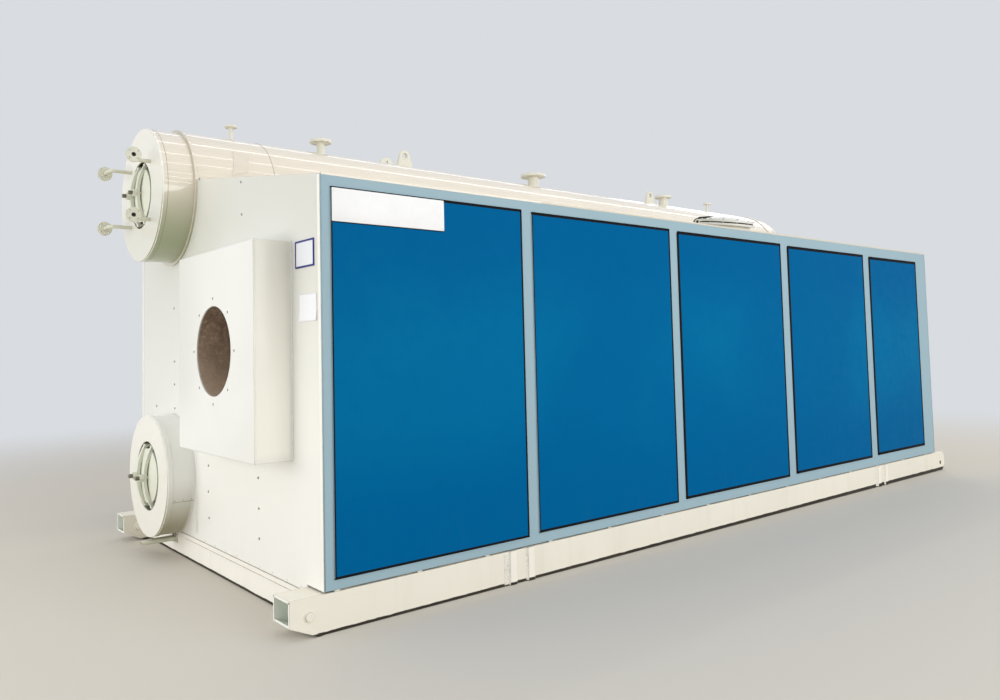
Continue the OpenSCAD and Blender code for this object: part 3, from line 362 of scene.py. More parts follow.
CREAM = srgb(238, 237, 230)
# painted light and shade: the end plates lighter low down and darker high up, the windbox's sides lit near
# the wall and shaded high up and on its front's left, painted shade on the lower drum's underside
WALL_LIT_LOW = srgb(246, 245, 239)
WALL_SHADE = srgb(216, 216, 207)
WINDBOX_SIDE_SHADE = srgb(232, 229, 215)
WINDBOX_ROOT_LIT = srgb(254, 252, 242)
WINDBOX_TOP_SHADE = srgb(212, 210, 197)
WINDBOX_LEFT_SHADE = srgb(220, 220, 211)
LOWER_UNDERSIDE_SHADE = srgb(158, 152, 121)
CROSS_CREAM = srgb(247, 244, 234)
RIB_CREAM = srgb(250, 246, 234)
NOSE_GREEN = srgb(246, 252, 242)
# a painted contact shadow along the beams' soles
SOLE_SHADOW = srgb(26, 20, 15)
FRAME_BLUE = srgb(159, 185, 196)
PANEL_BLUE = srgb(0, 97, 152)
PANEL_TEAL = srgb(2, 110, 160)
LAGGING = srgb(235, 224, 206)
END_CREAM = srgb(251, 249, 241)
END_DULL = srgb(232, 232, 223)
HEAD_GREEN = srgb(220, 222, 205)
FITTING = srgb(232, 229, 214)
PIPE_GREEN = srgb(214, 213, 193)
SKID = srgb(242, 237, 223)
BARE_STEEL = srgb(116, 108, 94)
# painted shade: the near-black inside of bores and holes
BORE_SHADE = srgb(22, 20, 18)
# a painted highlight on the end plates' hems and the noses' cut edges
EDGE_HIGHLIGHT = srgb(250, 248, 240)
PATCH = srgb(231, 222, 207)
# painted shadow lines: along the sill bar, and along the drums' seams and laps
SILL_SHADOW = srgb(136, 112, 82)
SEAM_SHADOW = srgb(128, 120, 96)


def casing_zones(s, base):
    """Painted light and shade: the end plates lighter low down and duller towards the roof, a painted shadow
    under the windbox, its sides lit near the wall and shaded high up, and painted shade on the left of
    its front and on the lower drum's underside.
    """
    x, y, z = s.along("X"), s.along("Y"), s.along("Z")
    ahead = s.span(y, FRONT - 0.004, FRONT - 0.03)
    out = s.calc("MAXIMUM", ahead, s.span(y, REAR + 0.004, REAR + 0.03))
    low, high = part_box("windbox")
    # painted light and shade: the end plates lighter low down, darker towards the roof and more so at the
    # upper left
    wall = s.blend(s.span(z, 0.5, 2.9), WALL_LIT_LOW, WALL_SHADE)
    wall = s.blend(s.times(s.span(x, 0.3, -1.0, 0, 0.4), s.span(z, 2.7, 2.0)), wall, WALL_SHADE)
    # a painted shadow on the front plate under the windbox
    shade = s.times(s.span(z, low.z - 0.35, low.z - 0.02, 0, 0.55), s.span(z, low.z + 0.1, low.z),
                    s.span(x, low.x - 0.1, low.x + 0.05), s.span(x, high.x + 0.1, high.x - 0.05), ahead)
    wall = s.blend(0.15, s.blend(shade, wall, WALL_SHADE), base)
    base = s.blend(out, wall, base)
    # painted light and shade on the windbox's side: lit near the front plate, shaded towards the top
    side = s.blend(s.span(y, FRONT - 0.05, FRONT - 0.5), WINDBOX_ROOT_LIT, WINDBOX_SIDE_SHADE)
    side = s.blend(s.span(z, low.z + 0.2, high.z, 0, 0.75), side, WINDBOX_TOP_SHADE)
    base = s.blend(s.times(s.span(s.facing("X"), 0.6, 0.95), s.span(z, 0.9, 1.0), out), base, side)
    # painted shade on the left part of what faces forward, above the windbox's foot
    edge = s.times(s.span(x, low.x + 0.55, low.x, 0, 0.8), s.span(z, low.z, low.z + 0.5),
                   s.span(s.facing("Y"), -0.6, -0.9), out)
    base = s.blend(edge, base, WINDBOX_LEFT_SHADE)
    # painted shade on what looks down below 0.9 m beyond the end plates: the lower drum's underside
    down = s.times(s.span(s.facing("Z"), 0.1, -1.0), out, s.span(z, 0.94, 0.90))
    return s.blend(down, base, LOWER_UNDERSIDE_SHADE)


def skid_zones(s, base):
    """Lighter cross beams and ribs, greener inside the noses, and a painted contact shadow along the soles.
    """
    x, y, z = s.calc("ABSOLUTE", s.along("X")), s.along("Y"), s.along("Z")
    inner = SIDE - BEAM_W * MM
    base = s.blend(s.span(x, inner - 0.004, inner - 0.016), base, CROSS_CREAM)
    rib = s.times(s.span(x, SIDE + 0.007, SIDE + 0.010), s.span(y, FRONT, FRONT + 0.01))
    base = s.blend(rib, base, RIB_CREAM)
    hollow = s.times(s.span(x, SIDE - 0.004, SIDE - 0.008), s.span(x, inner + 0.004, inner + 0.008),
                     s.span(z, 0.217, 0.213), s.span(y, FRONT - 0.02, FRONT - 0.03), s.span(z, 0.002, 0.010))
    base = s.blend(hollow, base, NOSE_GREEN)
    # a painted contact shadow along the beams' foot, ragged, and thicker towards the rear
    ragged = s.times(s.calc("SUBTRACT", s.noise(9, 4, 0.6), 0.5), 0.012)
    height = s.plus(s.plus(z, ragged), s.span(y, -5.0, 5.0, 0.010, -0.012))
    return s.blend(s.span(height, 0.028, 0.025), base, SOLE_SHADOW)


def end_zones(s, base):
    """The upper drum's end plates are a little duller towards the foot."""
    z = s.along("Z")
    low = s.times(s.span(z, UPPER.z + 0.3, UPPER.z - 0.35), s.span(z, UPPER.z - 0.9, UPPER.z - 0.7))
    return s.blend(low, base, END_DULL)


def throat_lining():
    """Cast refractory: brown, mottled and rough, with sooty patches and trowel marks, and painted light
    on what faces up and low down.
    """
    s = Shader("throat_lining", srgb(112, 94, 78), 0.9)
    big = s.span(s.noise(4.5, 5, 0.62, warp=0.8), 0.32, 0.68)
    fine = s.noise(38, 5, 0.7, shift=2)
    base = s.blend(big, srgb(92, 72, 58), srgb(166, 144, 124))
    base = s.blend(s.span(fine, 0.45, 0.72, 0, 0.8), base, srgb(204, 184, 162))
    base = s.blend(s.span(s.noise(13, 4, 0.6, shift=7), 0.6, 0.72, 0, 0.6), base, srgb(48, 36, 28))
    # painted light: lighter on what faces up, and lower down in the port
    base = s.blend(s.span(s.facing("Z"), -0.2, 0.9, 0, 0.75), base, srgb(196, 172, 148))
    base = s.blend(s.span(s.along("Z"), 2.0, 1.4, 0, 0.4), base, srgb(214, 190, 166))
    s.colour(base)
    s.shine(s.span(fine, 0.2, 0.8, 0.78, 0.97))
    marks = s.bump(s.noise(9, 4, 0.6, stretch=(1, 0.35, 1)), 0.012)
    s.surface(s.bump(fine, 0.004, under=marks))
    return s.mat


def grainy(name, colour, roughness, dark, light, span=(0.35, 0.7), scale=60, detail=4, rough=0.6,
           shine=(0.3, 0.6), bump=0.0004, edge=None, **fixed):
    """A plain material with the same grain in its colour, its shine and its surface."""
    s = Shader(name, colour, roughness, **fixed)
    grain = s.noise(scale, detail, rough)
    s.colour(s.blend(s.span(grain, *span), dark, light))
    s.shine(s.span(grain, 0.2, 0.8, *shine))
    s.surface(s.bump(grain, bump, under=s.soft_edges(edge) if edge else None))
    return s.mat


# painted shade inside bores and pin holes
def bore_shade():
    return grainy("bore_shade", BORE_SHADE, 0.8, tint(BORE_SHADE, 0.7), tint(BORE_SHADE, 1.6),
                  shine=(0.65, 0.9), bump=0.0005)


def seal_rubber():
    return grainy("seal_rubber", srgb(12, 13, 16), 0.7, srgb(9, 10, 13), srgb(30, 31, 34),
                  span=(0.4, 0.75, 0, 0.5), scale=55, shine=(0.6, 0.85), bump=0.0006, edge=0.002,
                  Specular_IOR_Level=0.12)


def screw_steel():
    """Plated screws with paint and dust on them."""
    return grainy("screw_steel", srgb(168, 165, 156), 0.42, srgb(138, 134, 124), srgb(190, 187, 178),
                  span=(0.4, 0.7), scale=120, shine=(0.34, 0.6), bump=0.0003, edge=0.0008, Metallic=0.35)


def bare_steel():
    """Mill steel with oil and overspray on it, on the threads that were masked from the paint."""
    return grainy("bare_steel", BARE_STEEL, 0.5, tint(BARE_STEEL, 0.7), tint(BARE_STEEL, 1.6),
                  scale=90, detail=5, rough=0.65, shine=(0.38, 0.7), Metallic=0.2)


def weld_metal(name, colour, shade=0.82):
    """A painted weld bead: the same paint over scales, with a little dirt between them."""
    return grainy(name, colour, 0.45, colour, tint(colour, shade), span=(0.35, 0.7, 0, 0.6), scale=90,
                  shine=(0.35, 0.6), bump=0.002)


def dark_steel():
    """Primer and dust in the strip between beams and walls, near-black on the hinge strap."""
    s = Shader("dark_steel", srgb(86, 72, 56), 0.7)
    dashes = s.span(s.noise(2.6, 3, 0.55, stretch=(1, 1, 0.2), shift=4), 0.47, 0.53)
    low = s.blend(dashes, srgb(96, 78, 56), srgb(176, 156, 126))
    base = s.blend(s.span(s.along("Z"), 1.2, 1.4), low, srgb(34, 34, 34))
    s.colour(base)
    grain = s.noise(30, 5, 0.65)
    s.shine(s.span(grain, 0.2, 0.8, 0.45, 0.8))
    s.surface(s.bump(grain, 0.0015, under=s.soft_edges(0.003)))
    return s.mat


def panel_paint():
    """Blue gloss paint: flat and even, a little greener in the middle of the side."""
    s = Shader("panel_paint", PANEL_BLUE, 0.42, Specular_IOR_Level=0.01)
    patch = s.span(s.noise(0.55, 2, 0.5, shift=1.7, warp=0.3), 0.4, 0.62)
    share = s.times(s.plus(s.times(patch, 0.6), 0.25), s.span(s.along("Z"), 0.5, 1.3),
                    s.span(s.along("Z"), 2.4, 1.6))
    base = s.blend(share, PANEL_BLUE, PANEL_TEAL)
    fine = s.noise(11, 5, 0.6)
    base = s.blend(s.span(fine, 0.45, 0.8, 0, 0.12), base, srgb(0, 84, 140))
    rounded = s.soft_edges(0.004)
    rim = s.edges(rounded)
    # a painted highlight along the panels' edges
    base = s.blend(s.times(rim, 0.3), base, srgb(4, 132, 184))
    low = s.span(s.along("Z"), 0.75, 0.28)
    dusty = s.times(low, s.span(s.noise(3, 5, 0.65, stretch=(3, 3, 0.5)), 0.45, 0.8))
    base = s.blend(s.times(dusty, 0.012), base, DUST)
    s.colour(base)
    s.shine(s.plus(s.span(fine, 0.25, 0.75, 0.34, 0.5), s.times(dusty, 0.15)))
    sheet = s.bump(s.noise(1.3, 2, 0.4, shift=2), 0.008, under=rounded)
    s.surface(s.bump(s.noise(420, 2, 0.5), 0.0001, under=sheet))
    return s.mat


def sign_white():
    """Enamelled plate, left bare."""
    s = Shader("sign_white", srgb(249, 249, 249), 0.45, Specular_IOR_Level=0.1)
    cloud = s.noise(3, 3, 0.5)
    s.colour(s.blend(s.span(cloud, 0.35, 0.7), srgb(246, 246, 246), srgb(250, 250, 250)))
    s.shine(s.span(s.noise(20, 4, 0.6), 0.2, 0.8, 0.22, 0.36))
    s.surface(s.bump(s.noise(5, 2, 0.4), 0.0003, under=s.soft_edges(0.0015)))
    return s.mat


def paper(name, colour):
    """A sheet of paper: matt, with fibres and a few soft creases, with painted shade along them."""
    s = Shader(name, colour, 0.85, Specular_IOR_Level=0.2)
    fibre = s.noise(260, 3, 0.6)
    crease = s.span(s.noise(9, 3, 0.5, warp=0.6), 0.45, 0.6)
    base = s.blend(s.span(fibre, 0.35, 0.7), tint(colour, 0.97), colour)
    # painted shade along the creases
    s.colour(s.blend(s.times(crease, 0.2), base, tint(colour, 0.93)))
    s.shine(s.span(fibre, 0.2, 0.8, 0.75, 0.95))
    s.surface(s.bump(fibre, 0.0002, under=s.bump(crease, 0.0015)))
    return s.mat


def paint_nodes():
    """Gives every CAD node the material of its slot."""
    looks = {
        "casing_paint": painted("casing_paint", CREAM, 0.3, waves=0.3, dirt=0.4, grime_and_shade=0.35, wear=0.25,
                                coat=0.2, cast=srgb(240, 240, 235), shift=1.0, mottle=0.06,
                                zones=casing_zones),
        "frame_paint": painted("frame_paint", FRAME_BLUE, 0.42, waves=0.5, dirt=0.35, grime_and_shade=0.5, wear=0.3,
                               shift=2.0, chip=srgb(120, 134, 140), level=0.08),
        # the lagging's under colour is painted shade on its underside, its shadow_tint the colour of the dirt
        # and painted shade in its joints
        "lagging_paint": painted("lagging_paint", LAGGING, 0.3, waves=0.35, dirt=0.4, grime_and_shade=0.5, wear=0.2,
                                 coat=1.0, coat_roughness=0.025, shift=3.0, under=srgb(154, 162, 128),
                                 shadow_tint=srgb(126, 120, 92)),
        # the end paint's under colour is painted shade on what looks down
        "end_paint": painted("end_paint", END_CREAM, 0.3, waves=0.5, dirt=0.5, grime_and_shade=0.4, wear=0.3,
                             coat=0.3, shift=4.0, under=srgb(178, 172, 142), zones=end_zones),
        # the heads' shadow_tint is the colour of the dirt and painted shade in their joints
        "head_paint": painted("head_paint", HEAD_GREEN, 0.42, waves=0.4, dirt=0.5, grime_and_shade=0.6, wear=0.4,
                              shift=5.0, shadow_tint=srgb(120, 118, 94)),
        "fitting_paint": painted("fitting_paint", FITTING, 0.35, waves=0.3, dirt=0.5, grime_and_shade=0.7, wear=0.5,
                                 shift=6.0),
        "pipe_paint": painted("pipe_paint", PIPE_GREEN, 0.36, waves=0.2, dirt=0.5, grime_and_shade=0.8, wear=0.5,
                              shift=7.0),
        "skid_paint": painted("skid_paint", SKID, 0.4, waves=0.5, dirt=0.9, grime_and_shade=0.6, wear=0.7,
                              shift=8.0, chip=BARE_STEEL, level=0.3, zones=skid_zones),
        "seal_rubber": seal_rubber(),
        "bore_shade": bore_shade(),
        "dark_steel": dark_steel(),
        "panel_paint": panel_paint(),
        "throat_lining": throat_lining(),
    }
    for part in frame["record"]["subparts"]:
        for slot in nodes[part["node"]].material_slots:
            slot.material = looks[part["material_slot"]]
    return looks


# building meshes

def finish_piece(name, bm, slot=None, material=None, sharp=38):
    """Turns a bmesh into an object that rides on the boiler, in its slot's own paint or another."""
    bmesh.ops.recalc_face_normals(bm, faces=bm.faces)
    mesh = bpy.data.meshes.new(name)
    bm.to_mesh(mesh)
    bm.free()
    for face in mesh.polygons:
        face.use_smooth = True
    mesh.set_sharp_from_angle(angle=radians(sharp))
    mesh.materials.append(material or looks[slot])
    obj = bpy.data.objects.new(name, mesh)
    bpy.context.scene.collection.objects.link(obj)
    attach(obj, "root")
    return obj


def ring(spot, u, v, radius, count):
    """Points on a circle round a spot, from u towards v."""
    turns = [2 * pi * i / count for i in range(count)]
    return [spot + (u * cos(a) + v * sin(a)) * radius for a in turns]


def bridge(bm, rows, closed=False):
    """Faces between rows of points. closed joins each row's last point to its first."""
    for a, b in zip(rows, rows[1:]):
        count = len(a)
        for i in range(count if closed else count - 1):
            j = (i + 1) % count
            bm.faces.new((a[i], a[j], b[j], b[i]))


def lathe(bm, profile, place, axis, sides=16):
    """A turned form. profile holds (radius, height) along axis from place, in metres."""
    u = axis.orthogonal().normalized()
    v = axis.cross(u)
    rings = [[bm.verts.new(p) for p in ring(place + axis * h, u, v, r, sides if r else 1)]
             for r, h in profile]
    for low, high in zip(rings, rings[1:]):
        for i in range(sides):
            j = (i + 1) % sides
            corners = [low[i % len(low)], low[j % len(low)], high[j % len(high)], high[i % len(high)]]
            kept = [c for k, c in enumerate(corners) if c not in corners[:k]]
            if len(kept) > 2:
                bm.faces.new(kept)


def tube(bm, points, radius, closed=False, sides=6):
    """A round bar through the points. radius is a number or a function of the length so far."""
    rings = []
    gone = 0.0
    normal = None
    for i, p in enumerate(points):
        before = points[i - 1] if i or closed else p
        after = points[(i + 1) % len(points)] if i + 1 < len(points) or closed else p
        way = (after - before).normalized()
        if normal is None:
            normal = way.orthogonal().normalized()
        else:
            gone += (p - points[i - 1]).length
            normal = (normal - way * normal.dot(way)).normalized()
        r = radius(gone) if callable(radius) else radius
        rings.append([bm.verts.new(q) for q in ring(p, normal, way.cross(normal), r, sides)])
    bridge(bm, rings + rings[:1] if closed else rings, True)
    if not closed:
        bm.faces.new(rings[0])
        bm.faces.new(list(reversed(rings[-1])))


def box(bm, a, b, bevel=0.001):
    """A bar between any two opposite corners, with its edges broken."""
    low, high = (Vector([pick(pair) for pair in zip(a, b)]) for pick in (min, max))
    verts = bmesh.ops.create_cube(bm, size=1)["verts"]
    bmesh.ops.scale(bm, vec=high - low, verts=verts)
    bmesh.ops.translate(bm, vec=(high + low) / 2, verts=verts)
    edges = list({e for v in verts for e in v.link_edges})
    bmesh.ops.bevel(bm, geom=edges, offset=bevel, segments=2, profile=0.7, affect="EDGES")


def mirrored(side, p):
    """The same place on the right side, 1, or on the left, -1."""
    return Vector((side * p.x, p.y, p.z))


def outward(turn):
    """The direction off a drum at a turn, in degrees from +X up."""
    return Vector((cos(radians(turn)), 0, sin(radians(turn))))


def on_drum(centre, radius, y, turn):
    return Vector((centre.x, y, centre.z)) + outward(turn) * radius


def arc(centre, radius, y, start, stop, step=0.012):
    """Points on a circle round a drum's axis."""
    count = max(3, int(abs(radians(stop - start)) * radius / step))
    return [on_drum(centre, radius, y, start + (stop - start) * i / count) for i in range(count + 1)]


def line(a, b, step=0.012):
    count = max(2, int((b - a).length / step))
    return [a.lerp(b, i / count) for i in range(count + 1)]


def bead(size, pitch=0.011, seed=1):
    """The radius of a weld bead along its length: scales and an uneven hand."""
    rnd = random.Random(seed)
    wander = [rnd.uniform(-1, 1) for _ in range(64)]

    def radius(gone):
        k = gone / 0.05
        i = int(k)
        slow = wander[i % 64] * (1 - k + i) + wander[(i + 1) % 64] * (k - i)
        return size * (1 + 0.14 * sin(2 * pi * gone / pitch) + 0.12 * slow)
    return radius


# pieces: front and rear plates

SCREW = [(0, -0.002), (9.5e-3, -0.002), (9.5e-3, 0.8e-3), (8.2e-3, 1.8e-3), (6.2e-3, 2.0e-3)]
SCREW_HEAD = [(6.2e-3, 1.6e-3), (6.2e-3, 5.0e-3), (5.2e-3, 6.0e-3), (3.2e-3, 5.8e-3), (0, 5.4e-3)]
SKIRT_SCREW_SIZE = 0.62


def screw(bm, place, axis, size=1.0):
    """A hexagon screw with a pressed washer."""
    lathe(bm, [(r * size, h * size) for r, h in SCREW], place, axis, 18)
    lathe(bm, [(r * size, h * size) for r, h in SCREW_HEAD], place, axis, 6)


# millimetres from the right wall's face and the ground
FRONT_SCREWS = [
    (-1126, 2765), (-1115, 2539), (-1915, 2931), (-2498, 1966), (-2485, 1532), (-2486, 1346),
    (-2480, 1153), (-2939, 1153), (-1748, 765), (-1750, 575), (-1738, 386), (-875, 773),
    (-868, 577), (-865, 384)]
SKIRT_SCREWS = [-2123, -1820, -1626, -1428, -1231, -1034, -860, -669, -464, -280]
SKIRT_SCREW_Z = 206


def front_screws():
    bm = bmesh.new()
    for x, z in FRONT_SCREWS:
        screw(bm, at(x, 0, z), -Y)
    finish_piece("front_screws", bm, "casing_paint", steel)
    bm = bmesh.new()
    for x in SKIRT_SCREWS:
        screw(bm, at(x, 0, SKIRT_SCREW_Z), -Y, SKIRT_SCREW_SIZE)
    finish_piece("skirt_screws", bm, "casing_paint")


def rear_screws():
    """The rear plate's screws: rows along its edges and up its middle, clear of the drums."""
    bm = bmesh.new()
    spots = [(x, z) for x in (-60, -1150, -2250, -3270) for z in range(300, 2560, 320)]
    spots += [(x, SKIRT_SCREW_Z) for x in range(-3080, -240, 300)]
    spots += [(x, 2600) for x in (-340, -620, -900)]
    for x, z in spots:
        p = at(x, LENGTH, z)
        if all((p.xz - drum.xz).length >= r + 0.05 for drum, r in ((UPPER, UPPER_R), (LOWER, LOWER_BAND_R))):
            screw(bm, p, Y)
    finish_piece("rear_screws", bm, "casing_paint", steel)


def sheet(name, low, high, material, lift, curl, seed):
    """A sheet of paper on the front plate, a little wavy, its lower corners off the plate."""
    phase = random.Random(seed).uniform(0, 6)
    bm = bmesh.new()
    across, up = 14, 18
    rows = [[] for _ in range(up + 1)]
    for j, row in enumerate(rows):
        for i in range(across + 1):
            u, v = i / across, j / up
            wave = 0.5 + 0.5 * sin(7 * u + phase + 3 * v)
            corner = max(0, abs(u - 0.5) * 2 - 0.55) * max(0, 1 - 2.5 * v)
            row.append(bm.verts.new((low.x + (high.x - low.x) * u, low.y - lift * wave - curl * corner,
                                     low.z + (high.z - low.z) * v)))
    bridge(bm, rows)
    thick = finish_piece(name, bm, material=material).modifiers.new("thickness", "SOLIDIFY")
    thick.thickness = 0.0004
    thick.offset = 1


NOTICE = ((-310, 2086), (-74, 2250))
NOTICE_EDGE = 11
PLAIN_NOTE = ((-266, 1765), (-48, 1925))


def notices():
    """Two blank sheets on the front plate, the upper one in a dark blue frame."""
    white = paper("note_paper", srgb(246, 246, 250))
    card = paper("notice_paper", srgb(236, 238, 242))
    (x0, z0), (x1, z1) = NOTICE
    sheet("notice_sheet", at(x0 + 3, -3, z0 + 3), at(x1 - 3, -3, z1 - 3), card, 0.0008, 0.0, 3)
    blue = grainy("notice_frame", srgb(44, 50, 128), 0.45, srgb(38, 44, 120), srgb(56, 62, 140),
                  shine=(0.32, 0.5), edge=0.001, Specular_IOR_Level=0.2)
    bm = bmesh.new()
    e = NOTICE_EDGE
    for a, b in (((x0, z0), (x1, z0 + e)), ((x0, z1 - e), (x1, z1)),
                 ((x0, z0 + e), (x0 + e, z1 - e)), ((x1 - e, z0 + e), (x1, z1 - e))):
        box(bm, at(a[0], -6, a[1]), at(b[0], 0.5, b[1]), 0.0012)
    finish_piece("notice_frame", bm, material=blue)
    (x0, z0), (x1, z1) = PLAIN_NOTE
    sheet("plain_note", at(x0, -1, z0), at(x1, -1, z1), white, 0.0015, 0.012, 5)


def rounded_plate(bm, low, high, radius, steps=5):
    """A flat plate in y and z with round corners, from low.x to high.x."""
    outline = []
    for cy, cz, turn in ((high.y - radius, high.z - radius, 0), (low.y + radius, high.z - radius, 90),
                         (low.y + radius, low.z + radius, 180), (high.y - radius, low.z + radius, 270)):
        for i in range(steps + 1):
            a = radians(turn + 90 * i / steps)
            outline.append((cy + radius * cos(a), cz + radius * sin(a)))
    mid = (low + high) / 2
    foot = [bm.verts.new((low.x, y, z)) for y, z in outline]
    lip = [bm.verts.new((high.x - 0.001, y, z)) for y, z in outline]
    top = [bm.verts.new((high.x, y + (mid.y - y) * 0.003, z + (mid.z - z) * 0.01)) for y, z in outline]
    bridge(bm, [foot, lip, top], True)
    bm.faces.new(top)
    bm.faces.new(list(reversed(foot)))


SIGN = ((73, 2343), (891, 2541))
SIGN_T = 3


SIGN_RIVET = [(4.5e-3, -1e-3), (4.5e-3, 0.4e-3), (3.4e-3, 1.6e-3), (1.6e-3, 2.1e-3), (0, 2.2e-3)]
# the panels' faces stand this far out of the side, millimetres
PANEL_OUT = 6


def sign_plate():
    """The white plate in the first panel's corner, with nothing on it, held by four rivets."""
    (y0, z0), (y1, z1) = SIGN
    face = PANEL_OUT
    white = sign_white()
    bm = bmesh.new()
    rounded_plate(bm, at(face - 1, y0, z0), at(face + SIGN_T, y1, z1), 4 * MM)
    finish_piece("sign_plate", bm, material=white)
    bm = bmesh.new()
    # a black strip along the sign's lower edge
    box(bm, at(face - 1, y0 + 1, z0 - 6), at(face + 1.5, y1 - 1, z0 + 2), 0.0003)
    finish_piece("sign_dark_strip", bm, "seal_rubber")
    bm = bmesh.new()
    for y in (y0 + 14, y1 - 14):
        for z in (z0 + 14, z1 - 14):
            lathe(bm, SIGN_RIVET, at(face + SIGN_T, y, z), X, 14)
    finish_piece("sign_rivets", bm, material=white)


def windbox_beads():
    """The painted seam where the windbox meets the front plate, and the joints of its folded sheet."""
    low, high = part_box("windbox")
    bm = bmesh.new()
    y = high.y - 0.001
    corners = [Vector((low.x, y, low.z)), Vector((high.x, y, low.z)),
               Vector((high.x, y, high.z)), Vector((low.x, y, high.z))]
    for i in range(4):
        tube(bm, line(corners[i], corners[(i + 1) % 4]), bead(0.0075, 0.02, i))
    finish_piece("windbox_seam", bm, "casing_paint", weld_metal("casing_weld", CREAM))
    bm = bmesh.new()
    lip, inset = 0.0022, 0.012
    for x, out in ((low.x, -lip), (high.x, lip)):
        box(bm, (x, low.y, low.z + 0.004), (x + out, low.y + inset, high.z - 0.004), 0.0009)
    for z, out in ((low.z, -lip), (high.z, lip)):
        box(bm, (low.x, low.y, z), (high.x, low.y + inset, z + out), 0.0009)
    finish_piece("windbox_lips", bm, "casing_paint")


# millimetres: the end plates' folded edges, and the strips over them
EDGE_T = 8
CORNER_STRIP_T = 0.8
HEM_W = 30
HEM_OUT = 3
SHEET_JOINT_X = -2000
SILL_FOOT_Z, SILL_TOP_Z = 153, 189
SILL_FROM, SILL_TO = -204, -2240


def casing_edges():
    """Blue strips that wrap the casing's corners, and the rolled hems down the end plates' edges."""
    foot, top = FOOT / MM, WALL_TOP / MM
    bm = bmesh.new()
    for y in (0, LENGTH - EDGE_T):
        for side in (1, -1):
            box(bm, mirrored(side, at(0, y - 0.2, foot + 1)),
                mirrored(side, at(CORNER_STRIP_T, y + EDGE_T + 0.2, top - 2)), 0.0002)
    finish_piece("corner_strips", bm, "frame_paint")
    bm = bmesh.new()
    for y, out in ((0, -1), (LENGTH, 1)):
        for x in (-HEM_W, -2 * SIDE / MM):
            box(bm, at(x, y, foot + 1), at(x + HEM_W, y + out * HEM_OUT, top - 3), 0.0012)
    # the hems' lighter paint is a painted highlight
    edge = painted("edge_paint", EDGE_HIGHLIGHT, 0.35, waves=0.1, dirt=0.3, grime_and_shade=0.2, wear=0.3, shift=9.0)
    finish_piece("corner_hems", bm, "casing_paint", edge)


# millimetres: the panels' front edges, widths, feet and tops, how far the black seal laps onto each,
# how far the lip along the top is raised, and whether its front stile has a filler strip
PANELS = ((66, 1498, 299, 2535, 5, 0, True), (1670, 1554, 311, 2523, 8, 5, True),
          (3345, 1588, 323, 2511, 12, 7, False), (5076, 1533, 335, 2499, 15, 7, False),
          (6763, 1171, 347, 2487, 18, 8, False))
SEAL_W = 10
SEAL_PROUD = 0.6


def panel_edges():
    """The seals' lips round every panel, and the filler strips before two panels' front edges."""
    filler, seal = bmesh.new(), bmesh.new()
    top_x = PANEL_OUT + SEAL_PROUD
    for side in (1, -1):
        def bar(bm, x0, y0, z0, x1, y1, z1):
            box(bm, mirrored(side, at(x0, y0, z0)), mirrored(side, at(x1, y1, z1)), 0.0003)

        for y, width, foot, top, lap, lift, filled in PANELS:
            far = y + width
            if filled:
                bar(filler, -2.5, y - SEAL_W - 1, foot - SEAL_W, 0.3, y + 0.5, top + SEAL_W)
                bar(filler, -1, y - 0.5, foot - 1, PANEL_OUT + 0.4, y + 1.5, top + 1)
                bar(seal, PANEL_OUT - 1, y + 1, foot, top_x, y + SEAL_W + 1, top)
            else:
                bar(seal, -2.5, y - SEAL_W + 0.5, foot - SEAL_W + 1, top_x, y + lap, top + SEAL_W - 1)
            near = y + 1.5 if filled else y
            bar(seal, -2.5, far - lap, foot - SEAL_W + 1, top_x, far + SEAL_W - 0.5, top + SEAL_W - 1)
            bar(seal, -2.5, near, foot - SEAL_W + 0.5, top_x, far, foot + lap)
            bar(seal, -2.5, near, top - lap + lift, top_x, far + SEAL_W - 0.5, top + SEAL_W + 3 + lift)
    finish_piece("stile_fillers", filler, "frame_paint")
    finish_piece("seal_lips", seal, "seal_rubber")


def front_joints():
    """The lap of two sheets beside the lower drum, and painted shadow lines below and above the sill bar."""
    bm = bmesh.new()
    box(bm, at(SHEET_JOINT_X, -0.9, 240), at(SHEET_JOINT_X + 40, 0.2, 930), 0.0004)
    finish_piece("front_sheet_lap", bm, "casing_paint")
    bm = bmesh.new()
    # painted shadow lines under the sill bar and in the gap above it
    for y, z, size, seed in ((5, SILL_FOOT_Z, 0.0038, 4), (4, SILL_TOP_Z, 0.0025, 5)):
        tube(bm, line(at(SILL_FROM, y, z), at(SILL_TO, y, z), 0.03), bead(size, 0.05, seed))
    finish_piece("sill_shadow_beads", bm, "casing_paint", weld_metal("sill_shadow_paint", SILL_SHADOW))


# pieces: drums

# the patch's left and right edges: place along the drum and turn at its top and bottom, it leans
PATCH_LEFT = ((341, 39.6), (294, 13.3))
PATCH_RIGHT = ((470, 38.5), (430, 18.9))
UPPER_SEAMS = (664, 7556)
LOWER_SEAM_TURN = -20
RING_BEHIND = 45


def drum_plate(bm, left, right, thick, steps=16):
    """A thin plate rolled onto the upper drum. Each edge is two (millimetres along, turn)."""
    rows = []
    for ((y1, t1), (y0, t0)), lift in ((left, -0.002), (left, thick), (right, thick), (right, -0.002)):
        shares = [i / steps for i in range(steps + 1)]
        rows.append([bm.verts.new(on_drum(UPPER, UPPER_R + lift, FRONT + (y0 + (y1 - y0) * k) * MM,
                                          t0 + (t1 - t0) * k)) for k in shares])
    bridge(bm, rows + rows[:1])
    bm.faces.new([r[0] for r in rows])
    bm.faces.new([r[-1] for r in reversed(rows)])


def roof_line(side):
    """The angle on the drum, in degrees from +X up, where the roof meets it on one side."""
    slope = tan(SLOPE)
    for i in range(0, 900):
        a = radians(-i / 10)
        x = UPPER.x + side * UPPER_R * cos(a)
        z = UPPER.z + UPPER_R * sin(a)
        if z < WALL_TOP + slope * (SIDE - side * x):
            return -i / 10
    return -90


ROOF_RIGHT, ROOF_LEFT = roof_line(1), 180 - roof_line(-1)
LAP_W = 34


